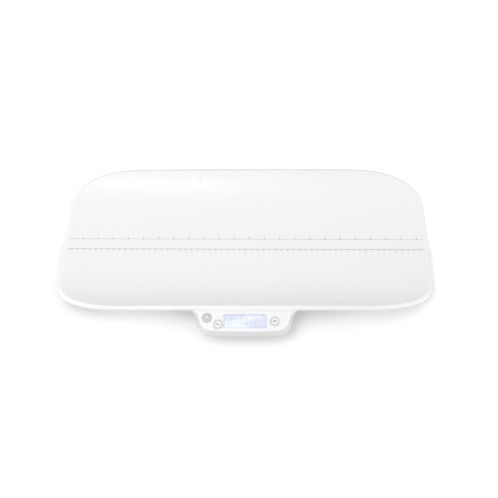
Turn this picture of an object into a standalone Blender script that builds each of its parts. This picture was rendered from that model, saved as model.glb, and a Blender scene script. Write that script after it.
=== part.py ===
# Animal weighing scale: one-piece concave weighing tray with a rolled rim and a display hood,
# a bottom cover with four load-cell feet, a battery compartment and a display back cover.
# Units are metres, +Z up, the table at z = 0. The display is at the front (-Y).
# Lengths are written in millimetres and multiplied by MM. The parts are built about the tray's
# centre; "scale_frame" moves them so that the origin is under the middle of the bounding box.

import math

import bmesh
import bpy
import numpy as np
from mathutils import Vector

MM = 0.001

# ---------------------------------------------------------------- driving dimensions (mm)
SKIN = 2.4              # wall thickness of the mouldings
CLEAR = 0.3             # gap between neighbouring parts

# Tray
TRAY_HALF_X = 296.0     # middle to the rim's crest line
TRAY_HALF_Y = 133.0
TRAY_LOW_Z = 30.0       # the surface's lowest point
TRAY_RISE = 35.0        # how far the long sides rise above that point
RISE_EXP = 2.4          # how the crest line rises round the outline, from the middle of the ends
BOWL_EXP = 3.6          # how the surface rises outwards: flat in the middle, steep near the crest
END_DROP = 5.0          # the long sides fall by this much towards the ends
END_EXP = 2.9
CORNER_X, CORNER_Y, CORNER_EXP = 120.0, 65.0, 2.5   # superelliptic corners of the outline
END_BULGE = 3.0         # the short ends bow outwards by this much
RIM_W = 6.2             # width of the rolled rim
RIM_DROP = 5.1          # depth of the rim's outer skirt below the crest line
HOOD_DROP = 9.0         # the skirt's depth where the display hood joins it
TRAY_POINTS = 72        # points round the tray's outline
TRAY_RINGS = (0.34, 0.56, 0.70, 0.81, 0.90, 0.96, 1.0)   # share of the way out to the crest
# Rim section: distance outwards from the crest line, height relative to it
RIM = [(1.2, -0.1), (2.4, -0.4), (3.6, -0.95), (4.8, -1.85), (5.7, -3.0), (RIM_W, -4.3)]

# Display hood, centred on x = 0
HOOD_Y, HOOD_Z = -140.0, 60.05   # a point near the back edge of the hood's sloping face
HOOD_TILT = math.radians(15.9)
HOOD_END = (92.0, -138.2)        # end of the outline, inside the rim
HOOD_SIDE = (74.0, -138.8)       # concave corner where the hood leaves the rim
HOOD_FRONT = (65.0, -169.9)      # convex front corner
HOOD_NOSE = -170.7               # front edge at the middle
HOOD_R_IN, HOOD_R_OUT = 14.0, 20.0
HOOD_BACK = -138.1               # nothing of the hood reaches further back
HOOD_BOTTOM = 39.3
HOOD_SWEEP_X, HOOD_SWEEP_Z = 73.5, 57.2   # the lower edge sweeps up from this x, to this height
HOOD_DRAFT = math.tan(math.radians(15.5))
# Rounded edge of the sloping face: distance outwards from its outline, depth below the face
HOOD_EDGE = [(-1.5, 0.0), (-0.1, 0.55), (0.55, 2.0)]

# Display and controls, in the panel's frame: -Y runs forwards down the slope, +Z out of it
WINDOW_X = (-31.65, 34.6)
WINDOW_Y = (-26.68, -5.06)
WINDOW_BOTTOM = -3.9
BUTTON_R = 7.2
BUTTONS = {"hold": (-58.15, -10.74), "unit": (-40.88, -21.1), "power": (47.3, -16.12)}
BOARD_SCREWS = [(-43.0, -5.5), (63.0, -5.0), (-53.0, -24.0)]
BOARD_Z, BOARD_T = -12.3, 1.6                # underside and thickness of the circuit board
ON_BOARD = BOARD_Z + BOARD_T + CLEAR         # lower end of what stands on the board

# Bottom cover
BASE_HALF_X, BASE_HALF_Y, BASE_R = 236.0, 96.0, 46.0
BASE_Z = 7.0
BASE_FLOOR = BASE_Z + SKIN                   # the floor's inner face
BASE_MID = BASE_Z + SKIN / 2                 # middle of the floor, where added solids start
BASE_POINTS = 48
# Lower edge of the bottom cover: distance inwards from the outline, height
BASE_SECTION = [(5.0, BASE_Z), (1.2, BASE_Z + 1.6), (0.0, BASE_Z + 5.5)]

# Screw joints: the screw rises through a pillar of a cover into a boss of the tray
BASE_SCREWS = [(-120, -78), (120, -78), (-120, 78), (120, 78), (-222, 0), (222, 0)]
COVER_SCREWS = [(-55, -118), (55, -118)]
BOSS_R, PILLAR_R, POCKET_R, HOLE_R = 4.0, 5.6, 4.0, 1.8
BASE_SEAT, COVER_SEAT = 15.0, 28.4           # tops of the pockets, where the heads bear
BASE_PILLAR_TOP, COVER_PILLAR_TOP = 17.4, 30.7
BASE_BOSS_END = BASE_PILLAR_TOP + CLEAR
COVER_BOSS_END = COVER_PILLAR_TOP + CLEAR

# Feet and load cells
FOOT_X, FOOT_Y, FOOT_R = 190.0, 60.0, 15.2
CUP_R = FOOT_R + 0.3
PLATE_Z, PLATE_T = 14.3, 1.8                 # underside and thickness of the load-cell plates
PRESS_R_OUT, PRESS_R_IN = 23.5, 20.0
FEET = {"front_left": (-1, -1), "back_left": (-1, 1),      # signs of x and y
        "front_right": (1, -1), "back_right": (1, 1)}

# Battery compartment, centred on x = 0
BATT_Y = 10.0
CELL_R, CELL_L, CELL_PITCH, CELL_Z = 5.25, 43.5, 11.3, 15.5
ROOM_X, ROOM_Y = 26.0, 17.7                  # half size of the cells' space
BOX_X, BOX_Y = ROOM_X + 4.0, ROOM_Y + 4.0    # half size of the compartment's outside
RECESS_X, RECESS_Y = ROOM_X + 2.0, ROOM_Y + 2.0   # half size of the door's recess
HINGE_Y, HINGE_Z = BATT_Y - ROOM_Y - 0.8, 7.9
DOOR_R = 0.9                                 # half thickness of the door

# ---------------------------------------------------------------- scene
for old in list(bpy.data.objects):
    bpy.data.objects.remove(old, do_unlink=True)

PARTS = bpy.data.collections.new("animal_weighing_scale")
CUTTERS = bpy.data.collections.new("cutters")
bpy.context.scene.collection.children.link(PARTS)
bpy.context.scene.collection.children.link(CUTTERS)


def face_z(y):
    """Height of the hood's sloping plane."""
    return HOOD_Z + (y - HOOD_Y) * math.tan(HOOD_TILT)


def wall_out(depth):
    """How far the hood's drafted wall stands outside the face's outline at a depth below it."""
    top_out, top_depth = HOOD_EDGE[-1]
    return top_out + (depth - top_depth) * HOOD_DRAFT


def place(obj, x, y, z):
    obj.location = (x * MM, y * MM, z * MM)
    return obj


def empty(name, parent, x, y, z):
    obj = place(bpy.data.objects.new(name, None), x, y, z)
    obj.parent = parent
    PARTS.objects.link(obj)
    return obj


front_most = HOOD_NOSE - wall_out(face_z(HOOD_NOSE) - HOOD_BOTTOM)
frame = empty("scale_frame", None, 0.0, -(TRAY_HALF_Y + RIM_W + front_most) / 2.0, 0.0)
panel = empty("panel_frame", frame, 0.0, HOOD_Y, HOOD_Z)
panel.rotation_euler = (HOOD_TILT, 0.0, 0.0)
hinge = empty("door_hinge", frame, 0.0, HINGE_Y, HINGE_Z)


# ---------------------------------------------------------------- materials
def material(name, color, roughness, metallic=0.0, alpha=1.0, transmission=0.0):
    mat = bpy.data.materials.new(name)
    mat.use_nodes = True
    inputs = mat.node_tree.nodes["Principled BSDF"].inputs
    inputs["Base Color"].default_value = (*color, 1.0)
    inputs["Roughness"].default_value = roughness
    inputs["Metallic"].default_value = metallic
    inputs["Alpha"].default_value = alpha
    inputs["Transmission Weight"].default_value = transmission
    return mat


white_gloss = material("white_gloss_abs", color=(0.90, 0.90, 0.91), roughness=0.22)
satin_white = material("satin_white_abs", color=(0.84, 0.84, 0.85), roughness=0.45)
clear_acrylic = material("clear_acrylic", color=(0.80, 0.85, 0.97), roughness=0.06,
                         alpha=0.5, transmission=0.6)
lcd_blue = material("lcd_blue", color=(0.62, 0.68, 0.92), roughness=0.25)
diffuser = material("backlight_diffuser", color=(0.92, 0.94, 1.0), roughness=0.5)
zebra_rubber = material("zebra_rubber", color=(0.10, 0.10, 0.11), roughness=0.7)
board_green = material("board_green", color=(0.05, 0.25, 0.12), roughness=0.5)
chip_black = material("chip_black", color=(0.03, 0.03, 0.035), roughness=0.4)
button_white = material("button_white", color=(0.88, 0.88, 0.89), roughness=0.35)
button_grey = material("button_grey", color=(0.30, 0.31, 0.33), roughness=0.4)
switch_black = material("switch_black", color=(0.05, 0.05, 0.055), roughness=0.45)
foot_grey = material("foot_grey_abs", color=(0.55, 0.56, 0.58), roughness=0.5)
pad_rubber = material("pad_rubber", color=(0.08, 0.08, 0.085), roughness=0.8)
cell_steel = material("cell_steel", color=(0.62, 0.63, 0.65), roughness=0.35, metallic=1.0)
gauge_coat = material("gauge_coat", color=(0.85, 0.86, 0.82), roughness=0.5)
cell_sleeve = material("cell_sleeve", color=(0.16, 0.17, 0.19), roughness=0.35)
nickel = material("nickel_contact", color=(0.70, 0.69, 0.66), roughness=0.3, metallic=1.0)
zinc = material("zinc_steel", color=(0.66, 0.66, 0.68), roughness=0.3, metallic=1.0)
wire_white = material("wire_white", color=(0.75, 0.75, 0.73), roughness=0.5)
wire_red = material("wire_red", color=(0.45, 0.05, 0.05), roughness=0.5)


# ---------------------------------------------------------------- building helpers
def shade(mesh, sharp_angle):
    """Smooth shading, with edges sharper than the angle (degrees) left crisp."""
    mesh.shade_smooth()
    mesh.set_sharp_from_angle(angle=math.radians(sharp_angle))


def finish(obj, mat, parent=frame, sharp_angle=None):
    """Adds a visible part to the scene; it is flat shaded unless sharp_angle is given."""
    PARTS.objects.link(obj)
    obj.data.materials.append(mat)
    obj.parent = parent
    if sharp_angle is not None:
        shade(obj.data, sharp_angle)
    return obj


def helper(obj, parent=frame):
    """Adds a hidden operand of a boolean to the scene."""
    CUTTERS.objects.link(obj)
    obj.parent = parent
    obj.hide_render = True
    obj.display_type = "WIRE"
    return obj


def boolean(obj, other, operation):
    mod = obj.modifiers.new(operation.lower(), "BOOLEAN")
    mod.operation = operation
    mod.object = other
    mod.solver = "EXACT"


def to_mesh(name, build):
    mesh = bpy.data.meshes.new(name)
    build.to_mesh(mesh)
    build.free()
    return mesh


def solid(name, build):
    """An object from a bmesh of closed solids."""
    bmesh.ops.recalc_face_normals(build, faces=build.faces)
    return bpy.data.objects.new(name, to_mesh(name, build))


def shell(name, build, find_face, faces_up):
    """An open surface thickened inwards; the found face must look up, or else down."""
    bmesh.ops.recalc_face_normals(build, faces=build.faces)
    if (find_face(build.faces).normal.z > 0) != faces_up:
        bmesh.ops.reverse_faces(build, faces=build.faces)
    obj = bpy.data.objects.new(name, to_mesh(name, build))
    mod = obj.modifiers.new("skin", "SOLIDIFY")
    mod.thickness = SKIN * MM
    mod.offset = -1.0
    mod.use_even_offset = True
    mod.use_quality_normals = True
    return obj


def add_box(build, low, high):
    """A box between two corners, in mm."""
    low, high = Vector(low), Vector(high)
    verts = bmesh.ops.create_cube(build, size=1.0)["verts"]
    bmesh.ops.scale(build, vec=(high - low) * MM, verts=verts)
    bmesh.ops.translate(build, vec=(high + low) * 0.5 * MM, verts=verts)


def add_rod(build, x, y, bottom, top, radius, segments=16):
    """A vertical cylinder, in mm."""
    verts = bmesh.ops.create_cone(build, cap_ends=True, cap_tris=False, segments=segments,
                                  radius1=radius * MM, radius2=radius * MM,
                                  depth=(top - bottom) * MM)["verts"]
    bmesh.ops.translate(build, vec=(x * MM, y * MM, (bottom + top) * 0.5 * MM), verts=verts)
    return verts


def add_fitted_rod(build, x, y, bottom, top, radius, surface, fit_top):
    """A rod whose top, or else bottom, is moved on to the surface height(x, y)."""
    middle = (bottom + top) * 0.5 * MM
    for vert in add_rod(build, x, y, bottom, top, radius, 12):
        if (vert.co.z > middle) == fit_top:
            vert.co.z = surface(vert.co.x / MM, vert.co.y / MM) * MM


def boxes(name, corner_pairs):
    build = bmesh.new()
    for low, high in corner_pairs:
        add_box(build, low, high)
    return solid(name, build)


def rods(name, items, segments):
    """Vertical cylinders; each item is (x, y, bottom, top, radius)."""
    build = bmesh.new()
    for item in items:
        add_rod(build, *item, segments)
    return solid(name, build)


def loft(rings, cap_first=False, cap_last=False, apex=None):
    """Joins rings of equal point count (mm) with quads; an apex closes the first with a fan."""
    build = bmesh.new()
    loops = [[build.verts.new(Vector(point) * MM) for point in ring] for ring in rings]
    count = len(rings[0])
    for here, there in zip(loops[:-1], loops[1:]):
        for i in range(count):
            j = (i + 1) % count
            build.faces.new((here[i], here[j], there[j], there[i]))
    if apex is not None:
        tip = build.verts.new(Vector(apex) * MM)
        for i in range(count):
            build.faces.new((tip, loops[0][(i + 1) % count], loops[0][i]))
    if cap_first:
        build.faces.new(list(reversed(loops[0])))
    if cap_last:
        build.faces.new(loops[-1])
    return build


def turned(name, profile, steps):
    """A solid of revolution about Z from (radius, z) points in mm."""
    mesh = bpy.data.meshes.new(name)
    points = [(radius * MM, 0.0, z * MM) for radius, z in profile]
    mesh.from_pydata(points, [(i, i + 1) for i in range(len(points) - 1)], [])
    obj = bpy.data.objects.new(name, mesh)
    mod = obj.modifiers.new("turn", "SCREW")
    mod.steps = mod.render_steps = steps
    mod.use_merge_vertices = True
    mod.merge_threshold = 0.00001
    mod.use_smooth_shade = True
    return obj


def poly_spline(curve, points):
    spline = curve.splines.new("POLY")
    spline.points.add(len(points) - 1)
    for target, (x, y, z) in zip(spline.points, points):
        target.co = (x * MM, y * MM, z * MM, 1.0)
    return spline


def flat_plate(name, outline, thickness):
    """A plate from an (x, y) outline in mm, from z = 0 to its thickness, with welded caps."""
    curve = bpy.data.curves.new(name + "_curve", "CURVE")
    curve.dimensions = "2D"
    curve.fill_mode = "BOTH"
    curve.extrude = thickness * MM / 2.0
    poly_spline(curve, [(x, y, 0.0) for x, y in outline]).use_cyclic_u = True
    temp = bpy.data.objects.new(name + "_tmp", curve)
    CUTTERS.objects.link(temp)
    depsgraph = bpy.context.evaluated_depsgraph_get()
    mesh = bpy.data.meshes.new_from_object(temp.evaluated_get(depsgraph))
    build = bmesh.new()
    build.from_mesh(mesh)
    bmesh.ops.remove_doubles(build, verts=build.verts, dist=0.000001)
    bmesh.ops.translate(build, vec=(0, 0, thickness * MM / 2.0), verts=build.verts)
    bmesh.ops.recalc_face_normals(build, faces=build.faces)
    build.to_mesh(mesh)
    build.free()
    mesh.name = name
    bpy.data.objects.remove(temp, do_unlink=True)
    return bpy.data.objects.new(name, mesh)


def x_prism(name, profile, half):
    """A prism along X from a (y, z) outline, reaching half its length to either side."""
    obj = place(flat_plate(name, profile, 2 * half), -half, 0, 0)
    obj.rotation_euler = (math.radians(90), 0.0, math.radians(90))
    return obj


def tube(name, points, radius, mat):
    """A round wire along straight pieces between points (mm)."""
    curve = bpy.data.curves.new(name, "CURVE")
    curve.dimensions = "3D"
    curve.bevel_depth = radius * MM
    curve.bevel_resolution = 1
    curve.use_fill_caps = True
    poly_spline(curve, points)
    finish(bpy.data.objects.new(name, curve), mat)


# ---------------------------------------------------------------- outlines and tray surface
def resample(outline, count):
    """Points evenly spaced along a closed polyline."""
    closed = np.vstack([outline, outline[:1]])
    length = np.r_[0.0, np.cumsum(np.hypot(*np.diff(closed, axis=0).T))]
    stations = np.linspace(0.0, length[-1], count, endpoint=False)
    return np.c_[np.interp(stations, length, closed[:, 0]),
                 np.interp(stations, length, closed[:, 1])]


def outward(outline):
    """Unit normals of a closed anticlockwise polyline."""
    tangent = np.roll(outline, -1, axis=0) - np.roll(outline, 1, axis=0)
    tangent /= np.hypot(tangent[:, 0], tangent[:, 1])[:, None]
    return np.c_[tangent[:, 1], -tangent[:, 0]]


def with_normals(outline, normals):
    """A list of (x, y, normal x, normal y)."""
    return [(*point, *normal) for point, normal in zip(outline, normals)]


def smooth_step(value):
    """Eases from 0 to 1 as the value goes from 0 to 1."""
    value = min(1.0, max(0.0, value))
    return value * value * (3.0 - 2.0 * value)


def tray_outline(count):
    """The crest line's plan, anticlockwise from the middle of the +X end."""
    angle = np.linspace(0.0, math.pi / 2, 400)
    corner_x = TRAY_HALF_X - CORNER_X + CORNER_X * np.cos(angle) ** (2 / CORNER_EXP)
    corner_y = TRAY_HALF_Y - CORNER_Y + CORNER_Y * np.sin(angle) ** (2 / CORNER_EXP)
    quarter = np.c_[np.r_[TRAY_HALF_X, corner_x, 0.0], np.r_[0.0, corner_y, TRAY_HALF_Y]]
    mirrored = np.c_[-quarter[::-1, 0], quarter[::-1, 1]]
    half = np.vstack([quarter, mirrored[1:]])
    full = np.vstack([half, -half[1:-1]])
    full[:, 0] *= 1.0 + END_BULGE / TRAY_HALF_X * (1.0 - (full[:, 1] / TRAY_HALF_Y) ** 2)
    return resample(full, count)


dense = tray_outline(1440)
dense_angle = np.unwrap(np.arctan2(dense[:, 1], dense[:, 0]))
dense_reach = np.hypot(dense[:, 0], dense[:, 1])


def trough(x, y):
    """Height of the weighing surface: it climbs steeply to the crest in that direction."""
    distance = math.hypot(x, y)
    if distance < 1e-6:
        return TRAY_LOW_Z
    direction = math.atan2(y, x) % (2 * math.pi)
    reach = float(np.interp(direction, dense_angle, dense_reach, period=2 * math.pi))
    crest_x, crest_y = x * reach / distance, y * reach / distance
    rise = ((TRAY_RISE - END_DROP * (abs(crest_x) / TRAY_HALF_X) ** END_EXP)
            * (abs(crest_y) / TRAY_HALF_Y) ** RISE_EXP)
    return TRAY_LOW_Z + rise * (distance / reach) ** BOWL_EXP


def trough_slope(x, y):
    step = 0.4
    return math.hypot(trough(x + step, y) - trough(x - step, y),
                      trough(x, y + step) - trough(x, y - step)) / (2 * step)


def under(x, y):
    """Height of the tray's underside."""
    return trough(x, y) - SKIN * math.hypot(1.0, trough_slope(x, y))


def mid_skin(x, y):
    """Height of the middle of the tray's wall."""
    return 0.5 * (trough(x, y) + under(x, y))


# ---------------------------------------------------------------- tray shell
def skirt_drop(x, y):
    """Depth of the skirt's lower edge below the crest line."""
    if y > 0.0:
        return RIM_DROP
    return HOOD_DROP + (RIM_DROP - HOOD_DROP) * smooth_step((abs(x) - HOOD_END[0]) / 14.0)


def make_tray():
    outline = tray_outline(TRAY_POINTS)
    crest = with_normals(outline, outward(outline))
    rings = [[(x * share, y * share, trough(x * share, y * share)) for x, y in outline]
             for share in TRAY_RINGS]
    for out, height in RIM:
        rings.append([(x + out_x * out, y + out_y * out, trough(x, y) + height)
                      for x, y, out_x, out_y in crest])
    rings.append([(x + out_x * RIM_W, y + out_y * RIM_W, trough(x, y) - skirt_drop(x, y))
                  for x, y, out_x, out_y in crest])

    def middle_face(faces):
        return max(faces, key=lambda face: -abs(face.calc_center_median().x)
                   - abs(face.calc_center_median().y))

    build = loft(rings, apex=(0, 0, TRAY_LOW_Z))
    return finish(shell("tray_shell", build, middle_face, True), white_gloss, sharp_angle=35)


tray = make_tray()


# ---------------------------------------------------------------- display hood
def fillet(before, corner, after, radius, count):
    """Points of an arc that rounds a corner."""
    before, corner, after = (np.array(point, float) for point in (before, corner, after))
    to_before = (before - corner) / np.linalg.norm(before - corner)
    to_after = (after - corner) / np.linalg.norm(after - corner)
    half = math.acos(float(np.clip(to_before @ to_after, -1, 1))) / 2
    reach = radius / math.tan(half)
    bisector = to_before + to_after
    centre = corner + bisector / np.linalg.norm(bisector) * (radius / math.sin(half))
    start = math.atan2(*(corner + to_before * reach - centre)[::-1])
    end = math.atan2(*(corner + to_after * reach - centre)[::-1])
    sweep = (end - start + math.pi) % (2 * math.pi) - math.pi
    angles = [start + sweep * k / count for k in range(count + 1)]
    return [tuple(centre + radius * np.array([math.cos(angle), math.sin(angle)]))
            for angle in angles]


def hood_outline():
    """The sloping face's edge, from the rim on the right round the nose to the left."""
    right = [HOOD_END]
    right += fillet(HOOD_END, HOOD_SIDE, HOOD_FRONT, HOOD_R_IN, 5)
    right += fillet(HOOD_SIDE, HOOD_FRONT, (0.0, HOOD_NOSE), HOOD_R_OUT, 7)
    bow = [(HOOD_FRONT[0] * share, HOOD_NOSE + (HOOD_FRONT[1] - HOOD_NOSE) * share ** 2)
           for share in (1 - k / 3 for k in (1, 2, 3))]
    right += [point for point in bow if point[0] < right[-1][0] - 4.0]
    return np.array(right + [(-x, y) for x, y in reversed(right[:-1])])


def hood_normals(outline):
    """Outward unit normals of the open outline."""
    tangent = np.gradient(outline, axis=0)
    tangent /= np.hypot(tangent[:, 0], tangent[:, 1])[:, None]
    return np.c_[-tangent[:, 1], tangent[:, 0]]


def hood_bottom(x):
    """The wall's lower edge, which sweeps up into the rim's skirt where the hood meets it."""
    share = smooth_step((abs(x) - HOOD_SWEEP_X) / (HOOD_END[0] - HOOD_SWEEP_X))
    return HOOD_BOTTOM + (HOOD_SWEEP_Z - HOOD_BOTTOM) * share


hood_line = hood_outline()
hood_edge = with_normals(hood_line, hood_normals(hood_line))


def make_hood():
    levels = []
    for out, depth in HOOD_EDGE:
        levels.append([(x + out_x * out, min(y + out_y * out, HOOD_BACK),
                        face_z(y + out_y * out) - depth) for x, y, out_x, out_y in hood_edge])
    lower_edge = []
    for x, y, out_x, out_y in hood_edge:
        bottom = hood_bottom(x)
        out = wall_out(face_z(y) - bottom)
        lower_edge.append((x + out_x * out, min(y + out_y * out, HOOD_BACK), bottom))
    levels.append(lower_edge)

    build = bmesh.new()
    rows = [[build.verts.new((x * MM, y * MM, z * MM)) for x, y, z in level] for level in levels]
    for upper, lower in zip(rows[:-1], rows[1:]):
        for i in range(len(upper) - 1):
            build.faces.new((upper[i], upper[i + 1], lower[i + 1], lower[i]))
    build.faces.new(rows[0])
    bmesh.ops.remove_doubles(build, verts=build.verts, dist=0.00001)

    def sloping_face(faces):
        return max(faces, key=lambda face: face.calc_area())

    return helper(shell("hood", build, sloping_face, True))


boolean(tray, make_hood(), "UNION")


# ---------------------------------------------------------------- tray bosses and holes
def tray_bosses():
    """Screw bosses that run up into the tray's wall."""
    build = bmesh.new()
    for x, y in BASE_SCREWS:
        add_fitted_rod(build, x, y, BASE_BOSS_END, 60.0, BOSS_R, mid_skin, True)
    for x, y in COVER_SCREWS:
        add_fitted_rod(build, x, y, COVER_BOSS_END, 80.0, BOSS_R, mid_skin, True)
    return helper(solid("tray_bosses", build))


def press_rings():
    """Rings that press on the load-cell plates, one over each foot."""
    count = 20
    # Corners of the ring's section: radius, whether it is at the top
    section = ((PRESS_R_OUT, False), (PRESS_R_OUT, True), (PRESS_R_IN, True), (PRESS_R_IN, False))
    build = bmesh.new()
    for side_x, side_y in FEET.values():
        loops = []
        for radius, at_top in section:
            loop = []
            for k in range(count):
                angle = 2 * math.pi * k / count
                x = side_x * FOOT_X + radius * math.cos(angle)
                y = side_y * FOOT_Y + radius * math.sin(angle)
                z = mid_skin(x, y) if at_top else PLATE_Z + PLATE_T + CLEAR
                loop.append(build.verts.new((x * MM, y * MM, z * MM)))
            loops.append(loop)
        for here, there in zip(loops, loops[1:] + loops[:1]):
            for i in range(count):
                j = (i + 1) % count
                build.faces.new((here[i], here[j], there[j], there[i]))
    return helper(solid("press_rings", build))


def board_posts():
    """Posts for the circuit board, square to the sloping face."""
    posts = [(x, y, ON_BOARD, -1.2, 2.6) for x, y in BOARD_SCREWS]
    return helper(rods("board_posts", posts, 12), parent=panel)


def tray_pilots():
    """Pilot holes of the bosses, and the cable gaps in the press rings."""
    build = bmesh.new()
    for x, y in BASE_SCREWS:
        add_rod(build, x, y, BASE_BOSS_END - 2, BASE_BOSS_END + 7.5, HOLE_R, 8)
    for x, y in COVER_SCREWS:
        add_rod(build, x, y, COVER_BOSS_END - 2, COVER_BOSS_END + 11, HOLE_R, 8)
    for side_x, side_y in FEET.values():
        left, right = sorted((side_x * (FOOT_X - 26), side_x * (FOOT_X - 17)))
        middle = side_y * FOOT_Y
        add_box(build, (left, middle - 3, 14.0), (right, middle + 3, 21.0))
    return helper(solid("tray_pilots", build))


def face_holes():
    """Post pilot holes, button holes and the window's opening."""
    build = bmesh.new()
    for x, y in BOARD_SCREWS:
        add_rod(build, x, y, -12.0, -3.4, 1.45, 8)
    for x, y in BUTTONS.values():
        add_rod(build, x, y, -6.0, 4.0, BUTTON_R + CLEAR + 0.05, 24)
    add_box(build, (WINDOW_X[0] - CLEAR, WINDOW_Y[0] - CLEAR, -6.0),
            (WINDOW_X[1] + CLEAR, WINDOW_Y[1] + CLEAR, 4.0))
    return helper(solid("face_holes", build), parent=panel)


boolean(tray, tray_bosses(), "UNION")
boolean(tray, press_rings(), "UNION")
boolean(tray, board_posts(), "UNION")
boolean(tray, tray_pilots(), "DIFFERENCE")
boolean(tray, face_holes(), "DIFFERENCE")


# ---------------------------------------------------------------- bottom cover
def rounded_rect(half_x, half_y, radius, count):
    """Anticlockwise outline, starting in the middle of the +X side."""
    points = [(half_x, 0.0)]
    in_x, in_y = half_x - radius, half_y - radius
    for x, y, start in ((in_x, in_y, 0), (-in_x, in_y, 90), (-in_x, -in_y, 180),
                        (in_x, -in_y, 270)):
        for k in range(41):
            angle = math.radians(start + 90 * k / 40)
            points.append((x + radius * math.cos(angle), y + radius * math.sin(angle)))
    return resample(np.array(points), count)


def make_base():
    outline = rounded_rect(BASE_HALF_X, BASE_HALF_Y, BASE_R, BASE_POINTS)
    edge = with_normals(outline, outward(outline))
    rings = [[(x - out_x * inset, y - out_y * inset, z) for x, y, out_x, out_y in edge]
             for inset, z in BASE_SECTION]
    # The top edge stays just under the tray, over the wall's whole thickness
    rings.append([(x, y, min(under(x - out_x * SKIN, y - out_y * SKIN), under(x, y)) - 0.45)
                  for x, y, out_x, out_y in edge])

    def floor_face(faces):
        return min(faces, key=lambda face: face.calc_center_median().z)

    build = loft(rings, cap_first=True)
    return finish(shell("base_cover", build, floor_face, False), satin_white, sharp_angle=35)


def base_adds():
    """Screw pillars, the battery compartment and the cylinders round the feet."""
    build = bmesh.new()
    for x, y in BASE_SCREWS:
        add_rod(build, x, y, BASE_MID, BASE_PILLAR_TOP, PILLAR_R, 12)
    add_box(build, (-BOX_X, BATT_Y - BOX_Y, BASE_MID), (BOX_X, BATT_Y + BOX_Y, 23.2))
    for side_x, side_y in FEET.values():
        add_rod(build, side_x * FOOT_X, side_y * FOOT_Y, BASE_MID, PLATE_Z - CLEAR,
                PRESS_R_OUT, 20)
    return helper(solid("base_adds", build))


def base_pockets():
    """Pockets for the screw heads and inside the cylinders round the feet."""
    build = bmesh.new()
    for x, y in BASE_SCREWS:
        add_rod(build, x, y, 0.0, BASE_SEAT, POCKET_R, 12)
    for side_x, side_y in FEET.values():
        add_rod(build, side_x * FOOT_X, side_y * FOOT_Y, BASE_FLOOR, 20.0, 19.0, 20)
    return helper(solid("base_pockets", build))


def base_holes():
    build = bmesh.new()
    for x, y in BASE_SCREWS:
        add_rod(build, x, y, 13.0, 19.0, HOLE_R, 8)
    for side_x, side_y in FEET.values():
        add_rod(build, side_x * FOOT_X, side_y * FOOT_Y, 0.0, 12.0, CUP_R + CLEAR, 24)
    # The cells' space, then the cable window in the front wall
    add_box(build, (-ROOM_X, BATT_Y - ROOM_Y, 3.0), (ROOM_X, BATT_Y + ROOM_Y, 21.4))
    add_box(build, (-26.0, -102.0, 13.5), (26.0, -90.0, 27.0))
    return helper(solid("base_holes", build))


base = make_base()
boolean(base, base_adds(), "UNION")
boolean(base, base_pockets(), "DIFFERENCE")
boolean(base, base_holes(), "DIFFERENCE")
door_recess = boxes("door_recess", [((-RECESS_X, BATT_Y - RECESS_Y, 3.0),
                                     (RECESS_X, BATT_Y + RECESS_Y, 9.1))])
boolean(base, helper(door_recess), "DIFFERENCE")
latch_notch = boxes("latch_notch", [((-8.0, BATT_Y + ROOM_Y - 2.0, 2.0),
                                     (8.0, BATT_Y + ROOM_Y + 5.2, 16.0))])
boolean(base, helper(latch_notch), "DIFFERENCE")

# ---------------------------------------------------------------- display back cover
COVER_BACK = -BASE_HALF_Y - 0.5
COVER_FRONT = -168.0             # front end of the sloping floor
COVER_LOW, COVER_HIGH = 12.0, 38.2   # the floor's height at its back and front ends
COVER_FLOOR_T = 2.6              # vertical thickness of the floor
COVER_WALL = 2.2
COVER_HALF_X = 71.4
COVER_LIP_Z = 44.0               # top of the front part, inside the hood's wall
COVER_TOP_Z = 58.3


def cover_floor(y):
    """Height of the floor's outer face."""
    return COVER_LOW + (COVER_BACK - y) * (COVER_HIGH - COVER_LOW) / (COVER_BACK - COVER_FRONT)


def cover_plan(inset):
    """Plan of the cover: inside the hood's wall at the front, straight sides behind."""
    side = COVER_HALF_X - inset
    back = COVER_BACK + inset * 4
    front = []
    for x, y, out_x, out_y in hood_edge:
        if y > -152.0:
            continue
        wall = SKIN * math.hypot(1, HOOD_DRAFT)
        out = wall_out(face_z(y) - COVER_LIP_Z) - wall - 0.4 - inset
        if abs(x + out_x * out) < side - 0.2:
            front.append((x + out_x * out, y + out_y * out))
    return [(side, back), (side, -150.0)] + front + [(-side, -150.0), (-side, back)]


def cover_block(name, inset, bottom, top):
    return place(flat_plate(name, cover_plan(inset), top - bottom), 0, 0, bottom)


# (y, z) outlines; the top of the outer one follows the tray's underside
outer_profile = [
    (COVER_BACK + 8, cover_floor(COVER_BACK + 8)), (COVER_FRONT, COVER_HIGH), (-182.0, 41.0),
    (-182.0, COVER_LIP_Z), (-142.0, COVER_LIP_Z), (-142.0, 55.3), (-135.8, 55.3),
    (-135.4, COVER_TOP_Z)]
outer_profile += [(y, min(under(0.0, y) - 0.5, COVER_TOP_Z))
                  for y in (-132, -126, -120, -114, -108, -102, -96.5, -90)]
inner_profile = [
    (COVER_BACK + 12, cover_floor(COVER_BACK + 12) + COVER_FLOOR_T),
    (COVER_FRONT, COVER_HIGH + COVER_FLOOR_T), (-185.0, 44.2), (-185.0, 66.0), (-80.0, 66.0)]

cover = finish(cover_block("display_back_cover", 0.0, 2.0, 70.0), satin_white, sharp_angle=30)
boolean(cover, helper(x_prism("cover_outer_profile", outer_profile, 90.0)), "INTERSECT")
hollow = helper(cover_block("cover_hollow", COVER_WALL, 0.0, 75.0))
boolean(hollow, helper(x_prism("cover_inner_profile", inner_profile, 95.0)), "INTERSECT")
boolean(cover, hollow, "DIFFERENCE")


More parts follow.
